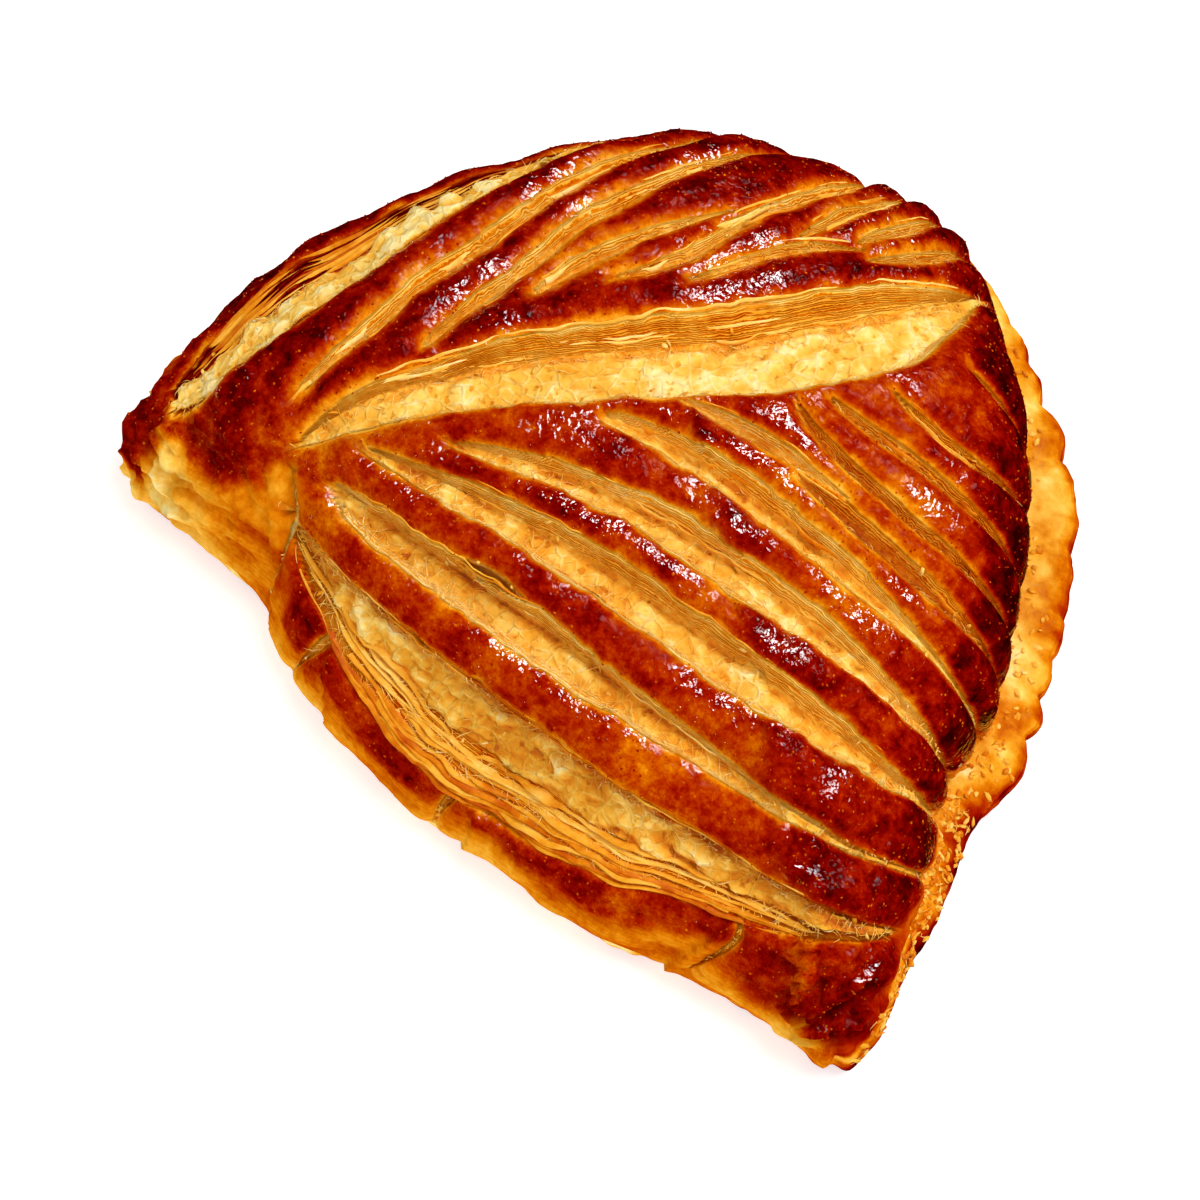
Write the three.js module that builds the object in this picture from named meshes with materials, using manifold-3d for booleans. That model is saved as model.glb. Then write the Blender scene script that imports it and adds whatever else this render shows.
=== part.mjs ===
// Apple turnover: a half-moon of puff pastry, folded, sealed along a scalloped rim and
// scored with a leaf pattern that has opened in the oven. One solid piece.
// Millimetres, +Z up. X runs along the fold, Y from the fold to the sealed rim.
import * as THREE from 'three';
import Module from 'manifold-3d';

// Half-moon outline, seen from above
const FOLD_HALF = 68.2;       // half the fold, from corner to corner
const FOLD_MID = 0.5;         // middle of the fold, in X
const FOLD_Y = -46.4;         // line through the two corners
const DEPTH = 106.5;          // from that line to the far edge
const LEAN = 10.0;            // how far the far edge leans to the left corner
const FOLD_BULGE = 10.0;      // how far the fold swells out between the corners
const FOLD_BULGE_X = 4.9;     // where it swells most
const FOLD_BULGE_SPAN = 61.0; // from there to where the swelling ends
const CORNER_DROP = 4.5;      // blunt thickness of each corner
const CORNER_SPREAD = 4.0;    // how fast a corner gets its full thickness
const CORNER_ROUND = 0.6;     // how round it is there, less is squarer
const SWELLS = [              // places where the edge stands out or in, by turn in degrees
  { at: 1, wide: 5, out: 4 },
  { at: 3.5, wide: 2.5, out: 1 },
  { at: 11, wide: 3, out: 1 },
  { at: 14, wide: 6, out: -1.5 },
  { at: 20, wide: 4, out: -2 },
  { at: 36, wide: 8, out: -0.8 },
  { at: 48, wide: 18, out: 2.5 },
  { at: 63, wide: 5, out: -1 },
  { at: 97, wide: 12, out: -2.7 },
  { at: 143, wide: 6, out: -0.8 },
  { at: 167, wide: 10, out: 5.4 },
  { at: 175, wide: 5, out: 1.6 },
  { at: 189, wide: 6, out: -1.4 },
  { at: 208, wide: 7, out: 1.3 },
  { at: 236, wide: 8, out: -1.7 },
  { at: 252, wide: 5, out: 1 },
  { at: 282, wide: 6, out: -2 },
  { at: 300, wide: 6, out: 1.2 },
  { at: 350, wide: 5, out: 1.5 },
];

// Heights and the rim
const HEIGHT = 40.0;          // crown of the uncut lid
const RIM_WIDTH = 7.0;        // sealed rim that shows beside the lid
const RIM_COVER = [           // places where the lid covers more or less of it, by turn in degrees
  { at: 7, wide: 7, share: 0.4 },
  { at: 46, wide: 14, share: -0.5 },
  { at: 82, wide: 12, share: 0.6 },
  { at: 161, wide: 17, share: 0.8 },
];
const RIM_TOP = 8.0;          // height where the lid meets the rim
const RIM_EDGE = 5.5;         // height of the rim's outer edge
const RIM_CREASE = 1.2;       // depth of the crease between lid and rim
const FOLD_FOOT = 5.0;        // height of the widest line of the fold
const CORNER_LIFT = 3.5;      // how much higher the blunt corners end
const CORNER_WIDE = 14.0;     // degrees of turn that a corner takes
const BASE_ROUND = 3.0;       // how far the flat base is set in from the edge
const SCALLOPS = 42;          // crimps round the whole edge, if the fold had them
const SCALLOP_OUT = 1.5;      // how far a crimp stands out
const SCALLOP_ROUND = 0.7;    // how full a crimp is, less is fuller

// Dome of the lid
const CROWN = new THREE.Vector2(-3.1, 0.1);
const FULLNESS = 0.15;        // how square the shoulders are
const WALL_POWER = 0.92;      // below 1 makes the wall above the rim steeper
const SHEET_RISE = 14.0;      // extra dough from crown to edge that the rise takes up
const SHEET_START = 0.72;     // share of the turn per share of dough, near the crown
const ROUND_X = 66.0;         // half axes of the rounder plan near the crown
const ROUND_Y = 54.0;
const ROUND_POWER = 1.5;      // how late that plan gives way to the half-moon

// Facets
const RIM_FACETS = SCALLOPS * 4;
const LID_RINGS = [           // share of the dough from crown to edge, and how many facets
  { share: 1, facets: RIM_FACETS / 2 },
  { share: 0.96, facets: RIM_FACETS / 2 },
  { share: 0.91, facets: RIM_FACETS / 2 },
  { share: 0.85, facets: RIM_FACETS / 2 },
  { share: 0.78, facets: RIM_FACETS / 2 },
  { share: 0.7, facets: RIM_FACETS / 2 },
  { share: 0.61, facets: RIM_FACETS / 4 },
  { share: 0.5, facets: RIM_FACETS / 4 },
  { share: 0.38, facets: RIM_FACETS / 4 },
  { share: 0.25, facets: RIM_FACETS / 4 },
  { share: 0.12, facets: RIM_FACETS / 8 },
];
const OUTLINE_SAMPLES = 1440;
const SHARE_ROUNDS = 14;      // steps that settle a place on the sheet
const SLIT_STEP = 6.5;        // length of one facet along a slit

// Slits on the flat dough sheet, in mm from the crown, u along the fold and v to the rim.
// bow is how far the line swings to its left, peak where it is widest and most bowed,
// lean how far the floor lies to the left, blunt and taper how slowly it opens and closes,
// settle how soon its bow runs out, and ledged ones have a step in their walls.
const MIDRIB = { bow: -9, wide: 14, peak: 0.68, deep: 4.2, lean: -0.14, taper: 1.6, ledged: true };
const FOLD_FAN = { bow: -13.5, wide: 19, peak: 0.42, deep: 4.5, lean: 0.2, taper: 1.5, ledged: true };
const FAR_FAN = { bow: -0.5, wide: 16.5, peak: 0.28, deep: 2, lean: -0.25, taper: 0.9, ledged: true };
const SLITS = [
  { from: [-35, -35.5], to: [17, 50], blunt: 0.4, ...MIDRIB },
  { from: [-34, -45.5], to: [78, -37], blunt: 1.2, settle: 1.7, ...FOLD_FAN },
  { from: [-63, -44.5], to: [-37, 34], ...FAR_FAN },
  // fold side
  { from: [-28, -38], to: [76, -27.5], bow: -2, wide: 6.2, peak: 0.32, deep: 3.4, taper: 2.8, ledged: true },
  { from: [-26, -31], to: [73, -18], bow: 1.5, wide: 6, peak: 0.5, deep: 3.4, taper: 1.8, ledged: true },
  { from: [-17, -24], to: [70, -11.5], bow: 5, wide: 4.8, peak: 0.45, deep: 3.2, taper: 2.2, ledged: true },
  { from: [-5, -10.2], to: [58, -3.5], bow: 2.5, wide: 4, peak: 0.36, deep: 3, taper: 2.2 },
  { from: [1, -2], to: [24, 2.5], bow: 1, wide: 2, peak: 0.46, deep: 2.2 },
  { from: [18, 0.5], to: [56, 4], bow: -0.5, wide: 2.6, peak: 0.4, deep: 2.6 },
  { from: [11.5, 8], to: [59, 11.5], bow: -3, wide: 1.8, peak: 0.35, deep: 2.2 },
  { from: [14, 11.5], to: [52, 18], bow: -0.8, wide: 1.8, peak: 0.38, deep: 2 },
  { from: [18.5, 18.5], to: [48, 28.5], bow: -3, wide: 1.6, peak: 0.4, deep: 1.8 },
  { from: [24, 31], to: [44, 38], bow: 0, wide: 1.8, peak: 0.5, deep: 1.8 },
  // far side
  { from: [-38.5, -30], to: [-29, 55], bow: -1, wide: 3, peak: 0.4, deep: 2.4, ledged: true },
  { from: [-28.5, -16], to: [-20, 52], bow: 0.5, wide: 2.4, peak: 0.38, deep: 2.2 },
  { from: [-23, -2], to: [-14, 25], bow: 1, wide: 2.1, peak: 0.38, deep: 2 },
  { from: [-17, 6], to: [-10.5, 31], bow: -1.5, wide: 1.8, peak: 0.4, deep: 1.8 },
  { from: [-13, 21.5], to: [-10, 56], bow: -1.8, wide: 2.4, peak: 0.52, deep: 2 },
  { from: [-10, 12.5], to: [1.5, 33], bow: 1.5, wide: 1.8, peak: 0.58, deep: 1.8 },
  { from: [-5, 28], to: [-3, 58], bow: 0, wide: 1.8, peak: 0.4, deep: 1.8 },
  { from: [0.5, 34], to: [3, 57], bow: -0.5, wide: 1.8, peak: 0.48, deep: 1.8 },
  { from: [3.5, 32], to: [10, 58], bow: -1.5, wide: 1.6, peak: 0.42, deep: 1.8 },
  // creases between the left corner and the lid
  { from: [-35, -38], to: [-36, -60], bow: 2.5, wide: 1.8, peak: 0.4, deep: 0.9 },
  { from: [-66, -43.5], to: [-46, -56], bow: -2.5, wide: 1.6, peak: 0.4, deep: 0.8 },
];
const SLIT_CLEAR = 5.0;       // how far a cutter reaches above the lid
const SLIT_FLARE = 1.07;      // how much wider the worn lips are than the slit
const SLIT_LIP = 0.22;        // share of the depth that the worn lip takes
const SLIT_FLOOR = 0.52;      // floor width as a share of the slit
const SLIT_LEDGE = 0.78;      // width above the ledge as a share of the slit
const SLIT_TREAD = 0.16;      // width of the ledge as a share of half the slit
const SLIT_LEDGE_DOWN = 0.5;  // depth of the ledge as a share of the slit's
const SLIT_LEDGE_FALL = 0.04; // how much the ledge slopes, as a share of the slit's depth
const SLIT_CAMBER = 0.06;     // how much the floor rises in the middle, likewise
const SLIT_END = 0.2;         // width and depth left at a slit's tips, as a share
const SLIT_BLUNT = 0.7;       // how slowly a slit opens from its first tip, less is blunter
const SLIT_TAPER = 1.3;       // how slowly it closes to its last tip, less is blunter
const SLIT_LIMIT = 0.93;      // a slit's middle stops at this share of the way to the lid's edge
const NORMAL_REACH = 0.5;     // distance either way that gives the lid's slope

const CRUST = { color: 0xa8571c, roughness: 0.35, metalness: 0 };

const wasm = await Module();
wasm.setup();

function smoothStep(low, high, value) {
  const t = THREE.MathUtils.clamp((value - low) / (high - low), 0, 1);
  return t * t * (3 - 2 * t);
}

// Share of the sealed rim at a turn: 1 round the open side, 0 along the fold
function rimShare(turn) {
  return smoothStep(-0.12, 0.25, Math.sin(turn));
}

// Hump of 1 where the turn is at a given angle, both in degrees, fading to 0 round it
function hump(degrees, at, wide) {
  const off = THREE.MathUtils.euclideanModulo(degrees - at + 180, 360) - 180;
  return Math.exp(-((off / wide) ** 2));
}

// Width of the rim that shows beside the lid at a turn
function rimWidth(turn) {
  const degrees = THREE.MathUtils.radToDeg(turn);
  let shown = 1;
  for (const { at, wide, share } of RIM_COVER) shown -= share * hump(degrees, at, wide);
  return RIM_WIDTH * rimShare(turn) * shown;
}

// 1 at either corner, 0 away from them
function cornerShare(turn) {
  const degrees = THREE.MathUtils.radToDeg(turn);
  return hump(degrees, 0, CORNER_WIDE) + hump(degrees, 180, CORNER_WIDE);
}

// Edge of the half-moon, in mm from the crown, by turn: 0 at the right corner, then the far side
function outlineFromCrown(turn) {
  const across = Math.sin(turn);
  const open = across >= 0;
  const x = FOLD_MID + FOLD_HALF * Math.cos(turn) - (open ? LEAN * across ** 2 : 0);
  const along = THREE.MathUtils.clamp((x - FOLD_BULGE_X) / FOLD_BULGE_SPAN, -1, 1);
  const swell = FOLD_BULGE * Math.cos(Math.PI * along / 2) ** 2;
  const blunt = CORNER_DROP * THREE.MathUtils.clamp(-across * CORNER_SPREAD, 0, 1) ** CORNER_ROUND;
  const y = FOLD_Y + (open ? DEPTH * across : -swell - blunt);
  const point = new THREE.Vector2(x, y).sub(CROWN);
  const degrees = THREE.MathUtils.radToDeg(turn);
  const out = SWELLS.reduce((sum, place) => sum + place.out * hump(degrees, place.at, place.wide), 0);
  return point.setLength(point.length() + out);
}

// The outline as evenly run samples: angle from the crown, radius, turn and length so far
function sampleOutline() {
  const samples = [];
  let length = 0;
  let last = null;
  for (let i = 0; i <= OUTLINE_SAMPLES; i += 1) {
    const turn = 2 * Math.PI * i / OUTLINE_SAMPLES;
    const point = outlineFromCrown(turn);
    let angle = point.angle();
    if (last) {
      length += point.distanceTo(last.point);
      angle += 2 * Math.PI * Math.round((last.angle - angle) / (2 * Math.PI));
    }
    last = { point, angle, radius: point.length(), turn, length };
    samples.push(last);
  }
  return samples;
}
const OUTLINE = sampleOutline();

// Reads the outline where one of its running values reaches a target
function outlineWhere(key, target) {
  let low = 0;
  let high = OUTLINE.length - 1;
  while (high - low > 1) {
    const mid = (low + high) >> 1;
    if (OUTLINE[mid][key] <= target) low = mid;
    else high = mid;
  }
  const a = OUTLINE[low];
  const b = OUTLINE[high];
  const t = THREE.MathUtils.clamp((target - a[key]) / (b[key] - a[key]), 0, 1);
  const mix = (name) => THREE.MathUtils.lerp(a[name], b[name], t);
  return { angle: mix('angle'), radius: mix('radius'), turn: mix('turn') };
}

// What the lid needs to know in one direction from the crown
function spoke(angle) {
  const first = OUTLINE[0].angle;
  const edge = outlineWhere('angle', first + THREE.MathUtils.euclideanModulo(angle - first, 2 * Math.PI));
  const share = rimShare(edge.turn);
  const unit = new THREE.Vector2(Math.cos(angle), Math.sin(angle));
  return {
    unit,
    lidEdge: edge.radius - rimWidth(edge.turn),
    foot: THREE.MathUtils.lerp(FOLD_FOOT, RIM_TOP, share) + CORNER_LIFT * cornerShare(edge.turn),
    around: 1 / Math.hypot(unit.x / ROUND_X, unit.y / ROUND_Y),
  };
}

// Point on a spoke, at a distance from the crown and a height
function sidePoint(line, out, z) {
  const flat = CROWN.clone().addScaledVector(line.unit, out);
  return new THREE.Vector3(flat.x, flat.y, z);
}

// Plan radius that the lid tends to on a spoke, at a share of the dough from crown to edge
function planRadius(line, share) {
  return THREE.MathUtils.lerp(line.around, line.lidEdge, share ** ROUND_POWER);
}

// Point of the lid on a spoke, at a share of the dough from crown to edge
function lidPoint(line, share) {
  const turn = Math.PI / 2 * share * (SHEET_START + (1 - SHEET_START) * share);
  const outwards = Math.sin(turn) * (1 + FULLNESS * Math.cos(turn) ** 2);
  const fall = Math.max(Math.cos(turn), 0) ** WALL_POWER;
  return sidePoint(line, outwards * planRadius(line, share), line.foot + (HEIGHT - line.foot) * fall);
}

// Share of the dough from crown to edge at a distance along a spoke's sheet
function sheetShare(line, distance) {
  let share = distance / (line.around + SHEET_RISE);
  for (let i = 0; i < SHARE_ROUNDS; i += 1) {
    share = distance / (planRadius(line, Math.min(share, 1)) + SHEET_RISE);
  }
  return Math.min(share, 1);
}

// Point of the lid under a place on the flat dough sheet
function sheetPoint(place) {
  const line = spoke(place.angle());
  return lidPoint(line, sheetShare(line, place.length()));
}

// Outward direction of the lid at a place on the sheet
function sheetNormal(place) {
  const shift = (du, dv) => sheetPoint(place.clone().add(new THREE.Vector2(du, dv)));
  const along = shift(NORMAL_REACH, 0).sub(shift(-NORMAL_REACH, 0));
  const across = shift(0, NORMAL_REACH).sub(shift(0, -NORMAL_REACH));
  return along.cross(across).normalize();
}

// Points at equal steps along the edge, each made from its place there and its spoke
function edgeRing(facets, make) {
  const total = OUTLINE[OUTLINE.length - 1].length;
  const ring = [];
  for (let i = 0; i < facets; i += 1) {
    const edge = outlineWhere('length', total * i / facets);
    ring.push(make(edge, spoke(edge.angle), i / facets));
  }
  return ring;
}

// Rings of the sealed rim and the fold's underside, from the flat base up to the crease
function rimRings() {
  const ring = (make) => edgeRing(RIM_FACETS, (edge, line, part) => {
    const share = rimShare(edge.turn);
    const crimp = Math.abs(Math.sin(Math.PI * SCALLOPS * part)) ** SCALLOP_ROUND;
    const radius = edge.radius + SCALLOP_OUT * share * (crimp - 0.5);
    const lip = THREE.MathUtils.lerp(line.foot, RIM_EDGE, share);
    return make(line, radius, lip, share, rimWidth(edge.turn));
  });
  return [
    ring((line, radius) => sidePoint(line, radius - BASE_ROUND, 0)),
    ring((line, radius, lip) => sidePoint(line, radius - 0.3 * BASE_ROUND, 0.25 * lip)),
    ring((line, radius, lip) => sidePoint(line, radius, 0.6 * lip)),
    ring((line, radius, lip, share, width) => sidePoint(line, radius - 0.25 * width, 0.97 * lip)),
    ring((line, radius, lip, share, width) => {
      const crease = line.foot - RIM_CREASE * share;
      return sidePoint(line, line.lidEdge + 0.12 * width, 0.985 * crease);
    }),
  ];
}

// Rings of the domed lid, from its edge up to the crown
function lidRings() {
  return LID_RINGS.map(({ share, facets }) => edgeRing(facets, (edge, line) => lidPoint(line, share)));
}

// Closed solid from rings, with a point at each end; a ring may have half the facets of the last
function closedFromRings(rings, first, last) {
  const starts = [];
  const points = [];
  for (const ring of rings) {
    starts.push(points.length);
    points.push(...ring);
  }
  points.push(first, last);
  const at = (r, i) => starts[r] + (i % rings[r].length);
  const triangles = [];
  const top = rings.length - 1;
  rings[0].forEach((_, i) => triangles.push(points.length - 2, at(0, i + 1), at(0, i)));
  for (let r = 0; r < top; r += 1) {
    const fold = rings[r].length / rings[r + 1].length;
    for (let i = 0; i < rings[r + 1].length; i += 1) {
      const middle = at(r, fold * i + fold - 1);
      triangles.push(at(r, fold * (i + 1)), at(r + 1, i + 1), middle);
      triangles.push(at(r + 1, i + 1), at(r + 1, i), middle);
      if (fold === 2) triangles.push(at(r, fold * i), middle, at(r + 1, i));
    }
  }
  rings[top].forEach((_, i) => triangles.push(at(top, i), at(top, i + 1), points.length - 1));
  return toSolid(points, triangles);
}

// Solid from points and triangles that close it
function toSolid(points, triangles) {
  const vertProperties = new Float32Array(points.flatMap((point) => point.toArray()));
  const triVerts = new Uint32Array(triangles);
  return new wasm.Manifold(new wasm.Mesh({ numProp: 3, vertProperties, triVerts }));
}

// Section of a slit from its left lip to its right lip: across, as shares of half its width,
// and down, as shares of its depth
function slitSection(slit) {
  const lean = slit.lean ?? 0;
  const left = [[SLIT_FLARE, 0], [1, SLIT_LIP]];
  if (slit.ledged) {
    left.push([SLIT_LEDGE, SLIT_LEDGE_DOWN]);
    left.push([SLIT_LEDGE - SLIT_TREAD, SLIT_LEDGE_DOWN + SLIT_LEDGE_FALL]);
  }
  left.push([SLIT_FLOOR, 1]);
  const right = left.map(([across, down]) => [-across, down]).reverse();
  const wall = left.concat([[0, 1 - SLIT_CAMBER]], right);
  return wall.map(([across, down]) => [across + lean * down, down]);
}

// Cutter for one slit: its section run along the slit's bowed line, square to the lid
function slitCutter(slit) {
  const from = new THREE.Vector2(...slit.from);
  const line = new THREE.Vector2(...slit.to).sub(from);
  const left = new THREE.Vector2(-line.y, line.x).normalize();
  const skew = Math.log(0.5) / Math.log(slit.peak);
  const section = slitSection(slit);
  const steps = Math.max(4, Math.round(line.length() / SLIT_STEP));
  const columns = [];
  for (let i = 0; i <= steps; i += 1) {
    const t = i / steps;
    const late = t ** skew > 0.5;
    const swing = Math.max(Math.sin(Math.PI * t ** skew), 0);
    const bend = slit.bow * swing ** (late ? slit.settle ?? 1 : 1);
    const middle = from.clone().addScaledVector(line, t).addScaledVector(left, bend);
    middle.clampLength(0, SLIT_LIMIT * (spoke(middle.angle()).lidEdge + SHEET_RISE));
    const power = late ? slit.taper ?? SLIT_TAPER : slit.blunt ?? SLIT_BLUNT;
    const open = SLIT_END + (1 - SLIT_END) * swing ** power;
    const up = sheetNormal(middle);
    const place = ([across, down]) => {
      const point = sheetPoint(middle.clone().addScaledVector(left, across * open * slit.wide / 2));
      return point.addScaledVector(up, -down * open * slit.deep);
    };
    const wall = section.map(place);
    const top = [wall[wall.length - 1], wall[0]].map((point) => {
      return point.clone().addScaledVector(up, SLIT_CLEAR);
    });
    columns.push(wall.concat(top));
  }
  return closedTube(columns);
}

// Closed solid from a run of closed sections, each end capped from its own middle
function closedTube(columns) {
  const size = columns[0].length;
  const points = columns.flat();
  const triangles = [];
  const at = (column, corner) => column * size + (corner % size);
  for (let c = 0; c + 1 < columns.length; c += 1) {
    for (let k = 0; k < size; k += 1) {
      triangles.push(at(c, k), at(c + 1, k + 1), at(c, k + 1));
      triangles.push(at(c, k), at(c + 1, k), at(c + 1, k + 1));
    }
  }
  for (const [column, turned] of [[0, false], [columns.length - 1, true]]) {
    const middle = new THREE.Vector3();
    columns[column].forEach((point) => middle.addScaledVector(point, 1 / size));
    points.push(middle);
    for (let k = 0; k < size; k += 1) {
      const edge = [at(column, k), at(column, k + 1)];
      triangles.push(points.length - 1, ...(turned ? edge.reverse() : edge));
    }
  }
  return toSolid(points, triangles);
}

// The whole pastry: rim, fold and lid in one, with the slits cut out
function buildTurnover() {
  const bottom = new THREE.Vector3(CROWN.x, CROWN.y, 0);
  const crown = new THREE.Vector3(CROWN.x, CROWN.y, HEIGHT);
  let solid = closedFromRings([...rimRings(), ...lidRings()], bottom, crown);
  for (const slit of SLITS) solid = solid.subtract(slitCutter(slit));
  const mesh = solid.getMesh();
  const geometry = new THREE.BufferGeometry();
  geometry.setAttribute('position', new THREE.BufferAttribute(mesh.vertProperties, 3));
  geometry.setIndex(new THREE.BufferAttribute(mesh.triVerts, 1));
  geometry.computeVertexNormals();
  const piece = new THREE.Mesh(geometry, new THREE.MeshStandardMaterial(CRUST));
  piece.name = 'turnover';
  return piece;
}

const group = new THREE.Group();
group.add(buildTurnover());

export default group;
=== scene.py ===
"""Apple turnover: the crust and the opened layers of the pastry, on a pale studio floor."""
import dataclasses
import itertools
import math

import bpy
import numpy as np
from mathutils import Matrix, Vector
from mathutils.geometry import delaunay_2d_cdt


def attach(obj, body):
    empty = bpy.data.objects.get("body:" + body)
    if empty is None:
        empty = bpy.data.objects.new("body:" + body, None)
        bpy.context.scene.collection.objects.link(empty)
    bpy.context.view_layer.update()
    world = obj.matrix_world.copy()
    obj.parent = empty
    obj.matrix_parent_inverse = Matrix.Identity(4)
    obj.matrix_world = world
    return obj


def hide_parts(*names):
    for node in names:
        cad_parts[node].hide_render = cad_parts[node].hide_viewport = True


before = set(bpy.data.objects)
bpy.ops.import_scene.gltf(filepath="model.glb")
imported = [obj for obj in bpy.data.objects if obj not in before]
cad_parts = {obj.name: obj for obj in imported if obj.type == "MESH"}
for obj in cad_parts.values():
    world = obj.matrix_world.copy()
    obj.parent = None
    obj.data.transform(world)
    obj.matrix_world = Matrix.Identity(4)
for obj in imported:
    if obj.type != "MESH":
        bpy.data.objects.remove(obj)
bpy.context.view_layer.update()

MM = 0.001

# Half-moon outline seen from above, in millimetres, as in the solid
FOLD_HALF = 68.2
FOLD_MID = 0.5
FOLD_Y = -46.4
DEPTH = 106.5
LEAN = 10.0
FOLD_BULGE = 10.0
FOLD_BULGE_X = 4.9
FOLD_BULGE_SPAN = 61.0
CORNER_DROP = 4.5
CORNER_SPREAD = 4.0
CORNER_ROUND = 0.6
# Where the edge stands out or in: turn in degrees, spread and distance
SWELLS = (
    (1.0, 5.0, 4.0), (3.5, 2.5, 1.0), (11.0, 3.0, 1.0), (14.0, 6.0, -1.5), (20.0, 4.0, -2.0),
    (36.0, 8.0, -0.8), (48.0, 18.0, 2.5), (63.0, 5.0, -1.0), (97.0, 12.0, -2.7), (143.0, 6.0, -0.8),
    (167.0, 10.0, 5.4), (175.0, 5.0, 1.6), (189.0, 6.0, -1.4), (208.0, 7.0, 1.3), (236.0, 8.0, -1.7),
    (252.0, 5.0, 1.0), (282.0, 6.0, -2.0), (300.0, 6.0, 1.2), (350.0, 5.0, 1.5),
)

# Heights, the rim and the dome, as in the solid
HEIGHT = 40.0
RIM_WIDTH = 7.0
# Where the lid covers more or less of the rim: turn in degrees, spread and share
RIM_COVER = ((161.0, 17.0, 0.8), (82.0, 12.0, 0.6), (46.0, 14.0, -0.5), (7.0, 7.0, 0.4))
RIM_TOP = 8.0
RIM_EDGE = 5.5
RIM_CREASE = 1.2
FOLD_FOOT = 5.0
CORNER_LIFT = 3.5
CORNER_WIDE = 14.0
BASE_ROUND = 3.0
SCALLOPS = 42
SCALLOP_OUT = 1.5
SCALLOP_ROUND = 0.7
CROWN = np.array((-3.1, 0.1))
FULLNESS = 0.15
WALL_POWER = 0.92
SHEET_RISE = 14.0
SHEET_START = 0.72
ROUND_X = 66.0
ROUND_Y = 54.0
ROUND_POWER = 1.5
OUTLINE_SAMPLES = 1440
SHARE_ROUNDS = 14
NORMAL_REACH = 0.5

# Slits
SLIT_FLOOR = 0.62       # floor width as a share of the slit
SLIT_DEEPER = 1.15      # how much deeper most slits are than in the solid
SLIT_END = 0.12         # width and depth left at a slit's tips, as a share
SLIT_TIP = 0.8          # most of the width left there
TIP_TOAST = 0.16        # how much further the dough has browned there
SLIT_BLUNT = 0.7        # how slowly a slit opens from its start, less is blunter
SLIT_TAPER = 1.3        # how slowly it closes to its end, less is blunter
LAYER_STEP = 0.5        # least depth of one dough layer that shows in a wall
LAYER_TREAD = 0.4       # least width of one
TREAD = 0.72            # share of a layer's width that lies flat
TREAD_FALL = 0.25       # share of a layer's drop that its flat part takes
LIP_WANDER = 0.42       # how far a lip strays from its line
LAYER_STRAY = 0.3       # how far a layer's edge strays
LAYERS_APART = 9.0      # distances in the noise, so that layers and walls stray on their own
SHEETS_APART = 7.0
WALLS_APART = 300.0
FLOOR_LUMPS = 0.95      # height of the lumps on a slit's floor
UNDERCUT = 0.9          # depth of the groove between a slit's upper wall and its floor
UNDERCUT_WIDE = 0.5
ROOTS_FROM = 9.0        # slits wider than this have threads at the foot of their upper wall
ROOTS_REACH = 1.8       # how far those reach over the floor

# Strips between the slits
LIP_DROP = 0.6          # how far the lips lie under the smooth lid
PUFF = 1.25             # how far a strip's crest rises over its lips
PUFF_REACH = 1.0        # distance from the lip that takes most of that rise
SWAY = 0.5              # slow unevenness of the whole lid
CRINKLE = 0.2           # wrinkles of the baked wash
CORNER_LUMPS = 1.6      # unevenness of the two corners
CORNER_RIDGES = 3.0     # wrinkles of the dough gathered behind the corners
KNOB_LUMPS = 1.6        # wrinkles of the bottom corner's tip
KNOB_WIDE = 10.0        # degrees of turn over which that has wrinkled and browned
FLANK_WRINKLE = 0.9     # wrinkles that run along the fold's flank
EAR_FOLDS = 2.0         # folds of the dough gathered at the corners
EAR_WRINKLE = 1.8       # wrinkles between them

# Spacing of the surface's points
STATION = 0.7
FLOOR_STEP = 0.45
LIP_ROWS = (0.25, 0.6, 1.1, 1.8)
ROW_OVERLAP = 0.05      # how far a slit's rows may run into another slit
FILL_STEP = 0.9
FILL_GAP = 0.4          # least distance from the last row beside a lip
FILL_JITTER = 0.4       # share of the step by which a place strays
JITTER_CELL = 0.01
EDGE_ROWS = (0.7, 1.5)  # distances of rows inside the lid's edge
EDGE_ROOM = 0.35        # least distance from that edge
LOOP_POINTS = 800
CLOSEST = 0.15
BASE_SHARES = (0.85, 0.6, 0.3)  # rings on the base, as shares of the way to its edge


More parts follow.
